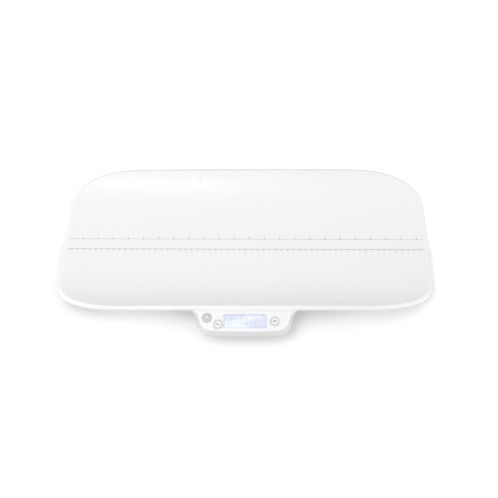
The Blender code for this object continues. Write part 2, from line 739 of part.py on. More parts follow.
def cover_pillars():
    """Screw pillars whose lower ends lie within the sloping floor."""
    build = bmesh.new()
    for x, y in COVER_SCREWS:
        add_fitted_rod(build, x, y, 15.0, COVER_PILLAR_TOP, PILLAR_R,
                       lambda _, y: cover_floor(y) + 1.2, False)
    return helper(solid("cover_adds", build))


boolean(cover, cover_pillars(), "UNION")
pockets = rods("cover_pockets", [(x, y, 5.0, COVER_SEAT, POCKET_R) for x, y in COVER_SCREWS], 12)
boolean(cover, helper(pockets), "DIFFERENCE")
holes = rods("cover_holes", [(x, y, 26.0, 33.0, HOLE_R) for x, y in COVER_SCREWS], 8)
boolean(cover, helper(holes), "DIFFERENCE")


# ---------------------------------------------------------------- display stack (panel's frame)
def panel_box(name, low, high, mat):
    return finish(boxes(name, [(low, high)]), mat, parent=panel)


window = panel_box("display_window", (WINDOW_X[0], WINDOW_Y[0], WINDOW_BOTTOM),
                   (WINDOW_X[1], WINDOW_Y[1], -0.3), clear_acrylic)
# A flange on all sides but the left; 0.01 keeps its faces off the window's own
flange = boxes("window_flange", [((WINDOW_X[0] + 0.01, WINDOW_Y[0] - 1.6, WINDOW_BOTTOM + 0.01),
                                  (WINDOW_X[1] + 1.7, WINDOW_Y[1] + 1.6, -2.7))])
boolean(window, helper(flange, parent=panel), "UNION")

GLASS_BOTTOM = -7.0
panel_box("lcd_glass", (WINDOW_X[0] + 0.2, -28.2, GLASS_BOTTOM),
          (36.2, -3.2, WINDOW_BOTTOM - CLEAR), lcd_blue)
panel_box("lcd_backlight", (WINDOW_X[0] + 0.4, -27.8, ON_BOARD),
          (35.8, -6.2, GLASS_BOTTOM - CLEAR), diffuser)
panel_box("lcd_connector_strip", (-28.0, -5.4, ON_BOARD),
          (33.0, -3.5, GLASS_BOTTOM - CLEAR), zebra_rubber)

board_outline = [(-68, -12), (-57.0, -29.0), (57.0, -29.0), (68, -12), (68, -1.5), (-68, -1.5)]
board = place(flat_plate("main_circuit_board", board_outline, BOARD_T), 0, 0, BOARD_Z)
finish(board, board_green, parent=panel)
board_holes = rods("board_holes", [(x, y, -14.0, -9.0, 1.75) for x, y in BOARD_SCREWS], 10)
boolean(board, helper(board_holes, parent=panel), "DIFFERENCE")
panel_box("controller_chip", (-6, -22, -14.4), (6, -10, BOARD_Z - CLEAR), chip_black)

# ---------------------------------------------------------------- buttons and their switches
BUTTON_PROFILE = [              # radius, z
    (0.0, 0.35), (BUTTON_R - 1.0, 0.35), (BUTTON_R - 0.25, 0.1), (BUTTON_R, -0.5),
    (BUTTON_R, -2.7), (8.4, -2.7), (8.4, -3.9), (2.2, -3.9), (2.2, -5.4), (0.0, -5.4)]


def make_button(key, x, y):
    button = place(turned("button_" + key, BUTTON_PROFILE, 20), x, y, 0)
    finish(button, button_grey if key == "hold" else button_white, parent=panel)
    if key == "unit":
        # Its flange is cut off on the right, beside the window
        trim = boxes("unit_flange_trim", [((BUTTON_R + 0.3, -20.0, -12.0), (24.0, 20.0, 6.0))])
        boolean(button, helper(place(trim, x, y, 0), parent=panel), "DIFFERENCE")


def make_switch(key, x, y):
    switch = boxes("switch_" + key, [((-3.1, -3.1, ON_BOARD), (3.1, 3.1, -7.2))])
    finish(place(switch, x, y, 0), switch_black, parent=panel)
    plunger = rods("plunger_" + key, [(0.0, 0.0, -8.0, -6.3, 1.7)], 12)
    boolean(switch, helper(place(plunger, x, y, 0), parent=panel), "UNION")


for key, (x, y) in BUTTONS.items():
    make_button(key, x, y)
    make_switch(key, x, y)

# ---------------------------------------------------------------- feet and load cells
CUP_PROFILE = [                 # radius, z
    (0.0, 13.4), (3.2, 13.4), (4.0, 12.8), (4.0, 11.2), (18.2, 11.2), (18.2, 9.7),
    (CUP_R, 9.7), (CUP_R, 3.3), (0.0, 3.3)]
PAD_PROFILE = [(0.0, 3.0), (FOOT_R, 3.0), (FOOT_R, 0.7), (FOOT_R - 0.7, 0.0), (0.0, 0.0)]
CELL_HALF = 21.5                # half side of a load-cell plate


def make_load_cell(key, foot_x, foot_y, inward):
    """A plate with a U-shaped slot round the tongue that the foot presses on.

    The tongue's root is on the inner side; inward is the sign of x towards the tray's middle."""
    def span(start, end):
        """Two x positions from distances inwards of the foot's middle, in rising order."""
        return sorted((foot_x + inward * start, foot_x + inward * end))

    plate = boxes("load_cell_" + key, [
        ((foot_x - CELL_HALF, foot_y - CELL_HALF, PLATE_Z),
         (foot_x + CELL_HALF, foot_y + CELL_HALF, PLATE_Z + PLATE_T))])
    finish(plate, cell_steel)
    bottom, top = PLATE_Z - 2, PLATE_Z + 4
    left, right = span(-12.0, 9.0)
    slots = boxes("cell_slots_" + key, [
        ((left, foot_y + low, bottom), (right, foot_y + high, top))
        for low, high in ((7.0, 8.6), (-8.6, -7.0))])
    boolean(plate, helper(slots), "DIFFERENCE")
    left, right = span(-12.0, -10.4)
    end_slot = boxes("cell_end_slot_" + key, [
        ((left, foot_y - 7.8, bottom), (right, foot_y + 7.8, top))])
    boolean(plate, helper(end_slot), "DIFFERENCE")
    left, right = span(3.5, 9.5)
    gauge = boxes("strain_gauge_" + key, [
        ((left, foot_y - 4.0, PLATE_Z + PLATE_T + 0.3),
         (right, foot_y + 4.0, PLATE_Z + PLATE_T + 1.0))])
    finish(gauge, gauge_coat)


for key, (side_x, side_y) in FEET.items():
    x, y = side_x * FOOT_X, side_y * FOOT_Y
    finish(place(turned("foot_cup_" + key, CUP_PROFILE, 20), x, y, 0), foot_grey)
    finish(place(turned("foot_pad_" + key, PAD_PROFILE, 20), x, y, 0), pad_rubber)
    make_load_cell(key, x, y, -side_x)

# ---------------------------------------------------------------- batteries and contacts
CELL_PROFILE = [                # radius, z; the positive cap is at the top
    (0.0, CELL_L / 2), (1.9, CELL_L / 2), (1.9, CELL_L / 2 - 1.2),
    (CELL_R - 0.4, CELL_L / 2 - 1.2), (CELL_R, CELL_L / 2 - 1.7), (CELL_R, -CELL_L / 2 + 0.4),
    (CELL_R - 0.4, -CELL_L / 2), (0.0, -CELL_L / 2)]
SPRING_TURNS, SPRING_STEPS = 2.0, 14
# Each end has one plate that links two cells and one that serves a single cell.
# Name, sign of x, first and last cell it serves (-1 front, 0 middle, 1 back)
CONTACT_PLATES = [
    ("contact_plate_negative", -1, -1, -1), ("contact_plate_link_left", -1, 0, 1),
    ("contact_plate_link_right", 1, -1, 0), ("contact_plate_positive", 1, 1, 1)]


def make_spring(name, y, side):
    """A conical spring that narrows towards the cell's flat end; side is its sign of x."""
    start, end = side * 24.7, side * (CELL_L / 2 + 0.7)
    points = []
    for i in range(SPRING_STEPS + 1):
        share = i / SPRING_STEPS
        radius = 3.6 - 1.6 * share
        angle = 2 * math.pi * SPRING_TURNS * share
        points.append((start + (end - start) * share, y + radius * math.cos(angle),
                       CELL_Z + radius * math.sin(angle)))
    tube(name, points, 0.3, nickel)


for number, row in enumerate((-1, 0, 1), start=1):
    y = BATT_Y + row * CELL_PITCH
    cap_side = 1 if number % 2 else -1
    battery = place(turned("battery_%d" % number, CELL_PROFILE, 16), 0, y, CELL_Z)
    battery.rotation_euler = (0.0, math.radians(90) * cap_side, 0.0)
    finish(battery, cell_sleeve)
    make_spring("battery_spring_%d" % number, y, -cap_side)

for name, side, first, last in CONTACT_PLATES:
    left, right = sorted((side * 25.2, side * 25.7))
    finish(boxes(name, [((left, BATT_Y + first * CELL_PITCH - 4.4, 10.8),
                         (right, BATT_Y + last * CELL_PITCH + 4.4, 20.2))]), nickel)

# ---------------------------------------------------------------- battery door
# (y, z) profiles from the hinge line: the door is rounded at the hinge, flat beyond it
reach = BATT_Y + RECESS_Y - CLEAR - HINGE_Y
door_profile = [(DOOR_R * math.cos(math.radians(angle)), DOOR_R * math.sin(math.radians(angle)))
                for angle in range(90, 271, 30)]
door_profile += [(reach, -DOOR_R), (reach, DOOR_R)]
door = finish(x_prism("battery_door", door_profile, RECESS_X - CLEAR), satin_white, parent=hinge)
# U-shaped spring latch at the door's free end
latch_profile = [
    (reach - 5.0, -0.5), (reach - 0.6, -0.5), (reach - 0.6, 5.4), (reach + 0.5, 5.4),
    (reach + 0.5, -0.7), (reach + 1.5, -0.7), (reach + 1.5, 6.4), (reach - 1.6, 6.4),
    (reach - 1.6, 0.5), (reach - 5.0, 0.5)]
boolean(door, helper(x_prism("door_latch", latch_profile, 6.5), parent=hinge), "UNION")


# ---------------------------------------------------------------- screws
def screws(name, places, parent, head_r, head_h, shaft_r, length):
    """Pan-head screws standing on their heads, with one shared mesh.

    The head's seat is at local z = 0 and the shaft runs up."""
    segments = 12
    profile = [(head_r * 0.7, -head_h), (head_r, -head_h * 0.45), (head_r, 0.0),
               (shaft_r, 0.0), (shaft_r, length - 1.0), (shaft_r * 0.4, length)]
    angles = [2 * math.pi * k / segments for k in range(segments)]
    rings = [[(radius * math.cos(angle), radius * math.sin(angle), z) for angle in angles]
             for radius, z in profile]
    build = loft(rings, cap_first=True, cap_last=True)
    bmesh.ops.recalc_face_normals(build, faces=build.faces)
    mesh = to_mesh(name, build)
    mesh.materials.append(zinc)
    shade(mesh, 35)
    for number, (x, y, z) in enumerate(places, start=1):
        screw = place(bpy.data.objects.new("%s_%d" % (name, number), mesh), x, y, z)
        screw.parent = parent
        PARTS.objects.link(screw)


screws("base_screw", [(x, y, BASE_SEAT - CLEAR) for x, y in BASE_SCREWS], frame,
       head_r=3.1, head_h=2.0, shaft_r=1.45, length=9.2)
screws("display_cover_screw", [(x, y, COVER_SEAT - CLEAR) for x, y in COVER_SCREWS], frame,
       head_r=3.1, head_h=2.0, shaft_r=1.45, length=11.0)
screws("board_screw", [(x, y, BOARD_Z - CLEAR) for x, y in BOARD_SCREWS], panel,
       head_r=2.6, head_h=1.5, shaft_r=1.1, length=8.2)

# ---------------------------------------------------------------- cables
CABLE_R = 0.9
# x at which each load cell's cable runs forwards under the display
CABLE_LANES = {"front_left": -16.0, "back_left": -11.0, "back_right": 13.0, "front_right": 18.0}


def cable(name, points, mat):
    """A cable through the points (mm), with a Catmull-Rom point halfway along each span."""
    knots = [Vector(point) for point in points]
    knots = [knots[0] * 2 - knots[1]] + knots + [knots[-1] * 2 - knots[-2]]
    path = []
    for before, start, end, after in zip(knots, knots[1:], knots[2:], knots[3:]):
        for t in (0.0, 0.5):
            path.append(0.5 * (2 * start + (end - before) * t
                               + (2 * before - 5 * start + 4 * end - after) * t * t
                               + (3 * start - before - 3 * end + after) * t * t * t))
    path.append(knots[-2])
    tube(name, path, CABLE_R, mat)


def cable_end(x, y):
    """A cable's end point, just under the circuit board."""
    forward = (HOOD_Y - y - BOARD_Z * math.sin(HOOD_TILT)) / math.cos(HOOD_TILT)
    board_z = HOOD_Z - forward * math.sin(HOOD_TILT) + BOARD_Z * math.cos(HOOD_TILT)
    return (x, y, board_z - 1.6)


for key, lane in CABLE_LANES.items():
    side_x, side_y = FEET[key]
    y = side_y * FOOT_Y
    route = [(side_x * (FOOT_X - 12.5), y, 18.2), (side_x * (FOOT_X - 24.0), y, 18.6)]
    if side_y < 0:
        route += [(side_x * 150, y + 3, 19.0), (side_x * 90, -62, 19.0),
                  (side_x * 44, -78, 19.5)]
    else:
        route += [(side_x * 150, 54, 19.0), (side_x * 80, 44, 19.5), (side_x * 46, 20, 19.5),
                  (side_x * 42, -30, 19.0), (side_x * 26, -72, 19.5)]
    route += [(lane, -95.0, 20.0), (lane, -112.0, 23.5), (lane, -134.0, 33.0),
              cable_end(lane, -145.0)]
    cable("load_cell_cable_" + key, route, wire_white)

cable("battery_lead",
      [(-14.0, BATT_Y - BOX_Y - 0.5, 16.0), (-10.0, -26.0, 16.5), (-2.0, -60.0, 19.0),
       (1.0, -95.0, 20.0), (1.0, -112.0, 23.5), (1.0, -130.0, 33.0), cable_end(1.0, -141.0)],
      wire_red)
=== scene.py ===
# A tray scale: a long shallow weighing tray with a printed ruler, and a display hood with three
# buttons at the middle of its front side. The length lies along X (left is -X), the front is -Y
# and Z is up from the floor. Sizes are in mm, in plan from the tray's middle; SHIFT moves that
# plan to the tray's place among the CAD pieces.
import math

import bmesh
import bpy
import numpy as np
from mathutils import Matrix, Vector


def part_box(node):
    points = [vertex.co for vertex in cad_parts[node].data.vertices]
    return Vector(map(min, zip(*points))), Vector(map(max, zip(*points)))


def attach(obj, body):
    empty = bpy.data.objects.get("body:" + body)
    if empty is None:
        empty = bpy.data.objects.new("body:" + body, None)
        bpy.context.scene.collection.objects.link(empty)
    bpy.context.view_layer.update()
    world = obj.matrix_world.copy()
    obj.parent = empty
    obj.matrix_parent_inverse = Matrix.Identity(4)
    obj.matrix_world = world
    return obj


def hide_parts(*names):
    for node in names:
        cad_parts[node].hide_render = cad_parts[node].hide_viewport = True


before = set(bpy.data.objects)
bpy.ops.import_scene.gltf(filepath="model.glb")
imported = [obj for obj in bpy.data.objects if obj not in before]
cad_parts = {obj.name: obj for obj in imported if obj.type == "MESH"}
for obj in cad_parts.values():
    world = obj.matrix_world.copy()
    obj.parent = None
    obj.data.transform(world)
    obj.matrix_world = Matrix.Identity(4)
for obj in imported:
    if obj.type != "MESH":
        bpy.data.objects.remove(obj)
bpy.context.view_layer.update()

MM = 0.001

# ---------------------------------------------------------------- driving dimensions
TRAY_HALF_X, TRAY_HALF_Y = 296.0, 133.0         # crest line, where the bowl meets the rim
TRAY_Z = 30.0                                   # lowest point of the weighing surface
TRAY_RISE, RISE_POWER, BOWL_POWER = 35.0, 2.4, 3.6
END_DROP, END_POWER = 5.0, 2.9                  # the crest falls towards the two ends
CORNER_X, CORNER_Y, CORNER_POWER = 120.0, 65.0, 2.5
END_BULGE = 3.0
RIM_WIDTH, RIM_DROP, SKIN = 6.2, 5.1, 2.4
SKIRT_Y = -(TRAY_HALF_Y + RIM_WIDTH)            # outer front line of the rim
HOOD_Y, HOOD_Z, HOOD_TILT = -140.0, 60.05, math.radians(15.9)    # the sloping face
HOOD_SIDE, HOOD_FRONT, HOOD_NOSE_Y = (74.0, -139.2), (65.0, -169.9), -170.7
HOOD_R_IN, HOOD_R_OUT = 14.0, 20.0
HOOD_BOTTOM = 39.3
HOOD_DRAFT = math.tan(math.radians(15.5))
CLEAR = 0.3

# on the sloping face, x and y from the face's own origin
WINDOW_X0, WINDOW_X1, WINDOW_Y0, WINDOW_Y1 = -31.65, 34.6, -26.68, -5.06
BUTTON_R = 7.2
BUTTONS = {"hold": (-58.15, -10.74), "unit": (-40.88, -21.1), "power": (47.3, -16.12)}
BOARD_SCREWS = [(-43.0, -5.5), (63.0, -5.0), (-53.0, -24.0)]
FLANGE_TOP = -2.7                               # flanges of window and buttons, under the face

BASE_HALF_X, BASE_HALF_Y, BASE_R, BASE_Z = 236.0, 96.0, 46.0, 7.0
BASE_SCREWS = [(-120, -78), (120, -78), (-120, 78), (120, 78), (-222, 0), (222, 0)]
COVER_SCREWS = [(-55, -118), (55, -118)]
FOOT_X, FOOT_Y, FOOT_R = 190.0, 60.0, 15.2
FEET = [(sx * FOOT_X, sy * FOOT_Y) for sx in (-1, 1) for sy in (-1, 1)]
FOOT_WELL_R = 23.5
PLATE_Z = 14.3                                  # tops of the base's foot wells, less CLEAR
BATTERY_X, BATTERY_Y, BATTERY_ROOM_Y = 0.0, 10.0, 17.7
BOSS_R, SCREW_POST_R, SCREW_HOLE_R = 4.0, 5.6, 1.8

# the CAD tray's back edge lies half a tray and a rim behind its middle line
TRAY_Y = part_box("tray_shell")[1].y / MM - (TRAY_HALF_Y + RIM_WIDTH)
SHIFT = Matrix.Translation((0.0, TRAY_Y * MM, 0.0))
PANEL = (SHIFT @ Matrix.Translation((0.0, HOOD_Y * MM, HOOD_Z * MM))
         @ Matrix.Rotation(HOOD_TILT, 4, "X"))


# ================================================================ shader helpers
class Shader:
    """A Principled material, with short calls for the nodes used here."""

    def __init__(self, name):
        self.material = bpy.data.materials.new(name)
        self.material.use_nodes = True
        self.tree = self.material.node_tree
        self.bsdf = self.tree.nodes["Principled BSDF"]
        self.coord = self.add("ShaderNodeTexCoord").outputs["Object"]

    def feed(self, socket, value):
        if isinstance(value, bpy.types.NodeSocket):
            self.tree.links.new(value, socket)
        elif socket.type == "RGBA":
            socket.default_value = (*value, 1.0)
        else:
            socket.default_value = value

    def add(self, kind, inputs=None, **props):
        node = self.tree.nodes.new(kind)
        for key, value in props.items():
            setattr(node, key, value)
        for key, value in (inputs or {}).items():
            self.feed(node.inputs[key], value)
        return node

    def set(self, inputs):
        for key, value in inputs.items():
            self.feed(self.bsdf.inputs[key], value)

    def noise(self, scale, detail=4.0, rough=0.55, vector=None):
        return self.add("ShaderNodeTexNoise", {"Vector": vector or self.coord, "Scale": scale,
                                               "Detail": detail, "Roughness": rough}).outputs["Fac"]

    def stretch(self, scale, rotation=(0, 0, 0)):
        return self.add("ShaderNodeMapping", {"Vector": self.coord, "Scale": scale,
                                              "Rotation": rotation}).outputs["Vector"]

    def span(self, value, to=(0.0, 1.0), over=(0.3, 0.7)):
        """Maps the range `over` onto the range `to`, clamped."""
        return self.add("ShaderNodeMapRange", {
            "Value": value, "From Min": over[0], "From Max": over[1],
            "To Min": to[0], "To Max": to[1]}).outputs["Result"]

    def math(self, operation, a, b):
        return self.add("ShaderNodeMath", {0: a, 1: b}, operation=operation).outputs[0]

    def plus(self, a, b):
        return self.math("ADD", a, b)

    def times(self, a, b):
        return self.math("MULTIPLY", a, b)

    def mix(self, factor, a, b):
        node = self.add("ShaderNodeMix", {"Factor": factor}, data_type="RGBA")
        for name, value in (("A", a), ("B", b)):
            socket = next(s for s in node.inputs if s.name == name and s.type == "RGBA")
            self.feed(socket, value)
        return next(s for s in node.outputs if s.type == "RGBA")

    def bump(self, height, depth, strength, under=None):
        inputs = {"Height": height, "Distance": depth, "Strength": strength}
        if under is not None:
            inputs["Normal"] = under
        normal = self.add("ShaderNodeBump", inputs).outputs["Normal"]
        self.set({"Normal": normal})
        return normal

    def edges(self):
        """White where the surface turns sharply outwards, for worn edges."""
        turn = self.add("ShaderNodeNewGeometry").outputs["Pointiness"]
        return self.span(turn, over=(0.505, 0.53))


def scale_rgb(rgb, factor):
    return tuple(min(1.0, c * factor) for c in rgb)


# ================================================================ materials
def moulded(name, rgb, rough=0.3, grain=700.0, depth=0.00002, vary=0.02, wear=0.5, scuffs=0.0,
            coat=0.0, spec=0.5, blotch=9.0):
    """Moulded plastic. `grain` and `depth` are the scale and height (m) of its fine texture,
    `vary` and `blotch` the strength and scale of the colour drift."""
    mat = Shader(name)
    slow = mat.noise(scale=blotch, detail=3.0)
    mid = mat.noise(scale=blotch * 9, detail=5.0, rough=0.6)
    drift = mat.plus(mat.times(slow, 0.65), mat.times(mid, 0.35))
    colour = mat.mix(mat.span(drift), scale_rgb(rgb, 1 - vary), scale_rgb(rgb, 1 + vary))
    gloss = mat.span(mid, to=(rough * 0.85, rough * 1.2))
    # worn edges: a little paler and duller
    worn = mat.times(mat.edges(),
                     mat.span(mat.noise(scale=blotch * 22), to=(0, wear), over=(0.42, 0.62)))
    colour = mat.mix(mat.times(worn, 0.5), colour, scale_rgb(rgb, 1.06))
    gloss = mat.plus(gloss, mat.times(worn, 0.18))
    normal = mat.bump(mat.noise(scale=grain, detail=3.0, rough=0.6), depth=depth, strength=0.6)
    if scuffs > 0:
        # rubbing marks in two directions, in patches
        across = mat.stretch((1.0, 26.0, 1.0), rotation=(0, 0, 0.35))
        along = mat.stretch((22.0, 1.0, 1.0), rotation=(0, 0, -0.5))
        marks_a = mat.span(mat.noise(scale=26, detail=2.0, rough=0.5, vector=across),
                           over=(0.66, 0.74))
        marks_b = mat.span(mat.noise(scale=22, detail=2.0, rough=0.5, vector=along),
                           over=(0.67, 0.75))
        patch = mat.span(mat.noise(scale=7.0, detail=2.0), over=(0.5, 0.62))
        marks = mat.times(mat.math("MAXIMUM", marks_a, marks_b), patch)
        colour = mat.mix(mat.times(marks, scuffs * 0.08), colour, scale_rgb(rgb, 0.86))
        gloss = mat.plus(gloss, mat.times(marks, scuffs * 0.22))
        mat.bump(marks, depth=0.00001, strength=0.25, under=normal)
    mat.set({"Base Color": colour, "Roughness": gloss, "Coat Weight": coat,
             "Coat Roughness": 0.12, "Specular IOR Level": spec})
    return mat.material


def rubber(name, rgb):
    """Rubber with pale dust and pale edges."""
    mat = Shader(name)
    dust = mat.span(mat.noise(scale=60, detail=6.0, rough=0.65), over=(0.45, 0.75))
    colour = mat.mix(mat.times(dust, 0.35), rgb, tuple(0.5 * c + 0.09 for c in rgb))
    colour = mat.mix(mat.times(mat.edges(), 0.4), colour, tuple(0.6 * c + 0.12 for c in rgb))
    mat.set({"Base Color": colour, "Roughness": mat.span(mat.noise(scale=180), to=(0.68, 0.9)),
             "Specular IOR Level": 0.35})
    mat.bump(mat.noise(scale=1400, rough=0.7), depth=0.00006, strength=0.7)
    return mat.material


def metal(name, rgb, rough, brushed=False, stain=0.25):
    """Plain or brushed metal with dull spots."""
    mat = Shader(name)
    vector = mat.stretch((1.0, 40.0, 1.0)) if brushed else mat.coord
    grain = mat.noise(scale=120 if brushed else 400, rough=0.6, vector=vector)
    spots = mat.span(mat.noise(scale=90, detail=5.0, rough=0.6), over=(0.5, 0.72))
    colour = mat.mix(mat.span(grain), scale_rgb(rgb, 0.9), scale_rgb(rgb, 1.06))
    colour = mat.mix(mat.times(spots, stain), colour, scale_rgb(rgb, 0.62))
    gloss = mat.plus(mat.span(grain, to=(rough * 0.8, rough * 1.25)), mat.times(spots, 0.12))
    mat.set({"Base Color": colour, "Metallic": 1.0, "Roughness": gloss})
    mat.bump(grain, depth=0.00002, strength=0.5)
    return mat.material


def ink(name, rgb, rough=0.55):
    """Printed ink with slightly uneven cover."""
    mat = Shader(name)
    cover = mat.noise(scale=900, detail=3.0, rough=0.7)
    thick = tuple(min(1.0, c * 1.15 + 0.01) for c in rgb)
    mat.set({"Base Color": mat.mix(mat.span(cover, over=(0.35, 0.7)), scale_rgb(rgb, 0.9), thick),
             "Roughness": mat.span(cover, to=(rough * 0.85, rough * 1.15))})
    mat.bump(cover, depth=0.000008, strength=0.5)
    return mat.material


def clear_acrylic():
    mat = Shader("clear_acrylic")
    smear = mat.noise(scale=120, rough=0.6)
    mat.set({"Base Color": mat.mix(mat.span(smear), (0.93, 0.95, 1.0), (0.97, 0.98, 1.0)),
             "Roughness": mat.span(smear, to=(0.06, 0.08), over=(0.35, 0.7)),
             "Alpha": 0.12, "Specular IOR Level": 0.4})
    mat.bump(mat.noise(scale=400, detail=2.0), depth=0.000004, strength=0.3)
    return mat.material


def acrylic_edge():
    """The window's side walls, given a painted glow so that they do not sit in shade under the
    clear plate.
    """
    mat = Shader("acrylic_edge")
    tint = mat.noise(scale=200, detail=3.0)
    mat.set({"Base Color": mat.mix(tint, (0.72, 0.76, 0.93), (0.80, 0.83, 0.96)),
             "Roughness": mat.span(mat.noise(scale=260, detail=3.0), to=(0.25, 0.4)),
             # the emission is painted light that lifts these walls out of their shade
             "Emission Color": (0.80, 0.84, 1.0), "Emission Strength": 0.22})
    mat.bump(mat.noise(scale=700, detail=2.0), depth=0.00001, strength=0.3)
    return mat.material


def digit_light():
    mat = Shader("digit_light")
    tint = mat.noise(scale=300, detail=2.0)
    mat.set({"Base Color": mat.mix(tint, (0.76, 0.88, 0.96), (0.80, 0.91, 0.98)),
             "Roughness": mat.span(mat.noise(scale=200, detail=3.0), to=(0.2, 0.35)),
             "Emission Color": (0.80, 0.95, 1.0), "Emission Strength": 0.12})
    mat.bump(mat.noise(scale=900, detail=2.0), depth=0.000004, strength=0.2)
    return mat.material


def lcd_blue():
    mat = Shader("lcd_blue")
    glow = mat.noise(scale=28, detail=2.0, rough=0.5)
    tint = mat.mix(mat.span(glow, over=(0.35, 0.65)),
                   (0.665, 0.706, 0.865), (0.680, 0.716, 0.875))
    mat.set({"Base Color": tint, "Emission Color": tint, "Emission Strength": 0.14,
             "Roughness": mat.span(mat.noise(scale=300, detail=3.0), to=(0.18, 0.3))})
    mat.bump(mat.noise(scale=1200, detail=2.0), depth=0.000004, strength=0.3)
    return mat.material


def solder_mask():
    """Green board with a fine brick pattern for its traces."""
    mat = Shader("solder_mask")
    traces = mat.add("ShaderNodeTexBrick", {
        "Vector": mat.stretch((1, 1, 0.0)), "Scale": 300.0, "Mortar Size": 0.02,
        "Color1": (0.012, 0.12, 0.05), "Color2": (0.014, 0.14, 0.06),
        "Mortar": (0.03, 0.22, 0.10)})
    bare = mat.span(mat.noise(scale=160, detail=3.0), over=(0.4, 0.6))
    mat.set({"Base Color": mat.mix(bare, traces.outputs["Color"], (0.012, 0.12, 0.05)),
             "Roughness": mat.span(mat.noise(scale=400, detail=3.0), to=(0.3, 0.48))})
    mat.bump(traces.outputs["Fac"], depth=0.00003, strength=0.5)
    return mat.material


def banded_elastomer():
    mat = Shader("banded_elastomer")
    bands = mat.add("ShaderNodeTexWave", {"Vector": mat.coord, "Scale": 900.0, "Distortion": 0.0},
                    bands_direction="X").outputs["Fac"]
    mat.set({"Base Color": mat.mix(mat.span(bands, over=(0.45, 0.55)),
                                   (0.02, 0.02, 0.02), (0.45, 0.18, 0.16)),
             "Roughness": mat.span(mat.noise(scale=300, detail=3.0), to=(0.6, 0.8))})
    mat.bump(bands, depth=0.00002, strength=0.4)
    return mat.material


tray_gloss = moulded("tray_gloss_abs", (0.80, 0.80, 0.80), rough=0.32, grain=620, depth=0.000006,
                     vary=0.0015, scuffs=0.03, blotch=3.0, spec=0.35)
button_grey = moulded("button_grey_abs", (0.47, 0.475, 0.485), rough=0.38, grain=1500,
                      vary=0.05, wear=0.8, blotch=60, spec=0.4)
button_white = moulded("button_white_abs", (0.80, 0.80, 0.805), rough=0.33, grain=1500,
                       wear=0.8, blotch=60, spec=0.4)
ruler_ink = ink("ruler_ink", (0.23, 0.24, 0.26))
number_ink = ink("number_ink", (0.62, 0.63, 0.65))
ring_ink = ink("ring_ink", (0.41, 0.42, 0.44))
mark_ink = ink("mark_ink", (0.30, 0.31, 0.33))
pale_ink = ink("pale_ink", (0.78, 0.79, 0.81))
satin = moulded("satin_abs", (0.76, 0.76, 0.77), rough=0.48, grain=1300, depth=0.00006,
                wear=0.7, scuffs=0.6, spec=0.35)
foot_grey = moulded("foot_abs", (0.38, 0.39, 0.41), rough=0.5, grain=1400, depth=0.00005,
                    vary=0.05, wear=0.8, blotch=40, spec=0.35)
foot_rubber = rubber("foot_rubber", (0.028, 0.028, 0.03))
steel = metal("cell_steel", (0.56, 0.57, 0.59), rough=0.34, brushed=True)
zinc = metal("zinc_plate", (0.60, 0.61, 0.64), rough=0.30)
nickel = metal("nickel_plate", (0.66, 0.65, 0.61), rough=0.22, stain=0.15)
gauge_coating = moulded("gauge_silicone", (0.70, 0.71, 0.67), rough=0.6, grain=900,
                        depth=0.00005, vary=0.06, wear=0.2, blotch=120, spec=0.3)
cable_white = moulded("cable_pvc_white", (0.62, 0.62, 0.60), rough=0.45, grain=1200,
                      vary=0.05, wear=0.1, blotch=70, spec=0.35)
cable_red = moulded("cable_pvc_red", (0.36, 0.03, 0.03), rough=0.42, grain=1200,
                    vary=0.08, wear=0.1, blotch=70, spec=0.35)
sleeve = moulded("battery_sleeve", (0.06, 0.065, 0.08), rough=0.28, grain=1500, depth=0.000006,
                 vary=0.1, wear=0.9, blotch=60, coat=0.4)
chip = moulded("chip_epoxy", (0.02, 0.02, 0.022), rough=0.5, grain=2500, depth=0.00003,
               vary=0.15, wear=0.3, blotch=120)
diffuser = moulded("light_guide", (0.82, 0.85, 0.92), rough=0.35, grain=2200, wear=0.1, blotch=60)


# ================================================================ mesh helpers
def link(name, data):
    made = bpy.data.objects.new(name, data)
    bpy.context.scene.collection.objects.link(made)
    return made


def new_object(name, mesh, material, body="root", angle=38.0, smooth=True, replaces=None):
    made = link(name, mesh)
    mesh.materials.clear()
    mesh.materials.append(material)
    if smooth:
        mesh.shade_smooth()
        mesh.set_sharp_from_angle(angle=math.radians(angle))
    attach(made, body)
    if replaces:
        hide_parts(replaces)
    return made


def mesh_of(shape, matrix=None, weld=0.0):
    """Turns a bmesh into mesh data and frees it."""
    if matrix is not None:
        bmesh.ops.transform(shape, matrix=matrix, verts=shape.verts)
    if weld:
        bmesh.ops.remove_doubles(shape, verts=shape.verts, dist=weld)
    bmesh.ops.recalc_face_normals(shape, faces=shape.faces)
    mesh = bpy.data.meshes.new("mesh")
    shape.to_mesh(mesh)
    shape.free()
    return mesh


def evaluated_mesh(source):
    depsgraph = bpy.context.evaluated_depsgraph_get()
    return bpy.data.meshes.new_from_object(source.evaluated_get(depsgraph))


def curve_mesh(curve):
    """The mesh of a curve or text, which is then deleted."""
    holder = link("curve", curve)
    mesh = evaluated_mesh(holder)
    bpy.data.objects.remove(holder, do_unlink=True)
    bpy.data.curves.remove(curve)
    return mesh


def carve(mesh, *tools):
    """Applies Booleans to a mesh in turn: tools are (operation, mesh)."""
    target = link("carve_a", mesh)
    made = [target]
    for operation, tool_mesh in tools:
        tool = link("carve_b", tool_mesh)
        made.append(tool)
        boolean = target.modifiers.new(operation, "BOOLEAN")
        boolean.operation = operation
        boolean.object = tool
        boolean.solver = "EXACT"
    result = evaluated_mesh(target)
    for used in made:
        bpy.data.objects.remove(used, do_unlink=True)
    return result


def bridge(shape, ring, following):
    """Quads between two closed rings of vertices."""
    count = len(ring)
    for i in range(count):
        j = (i + 1) % count
        shape.faces.new((ring[i], ring[j], following[j], following[i]))


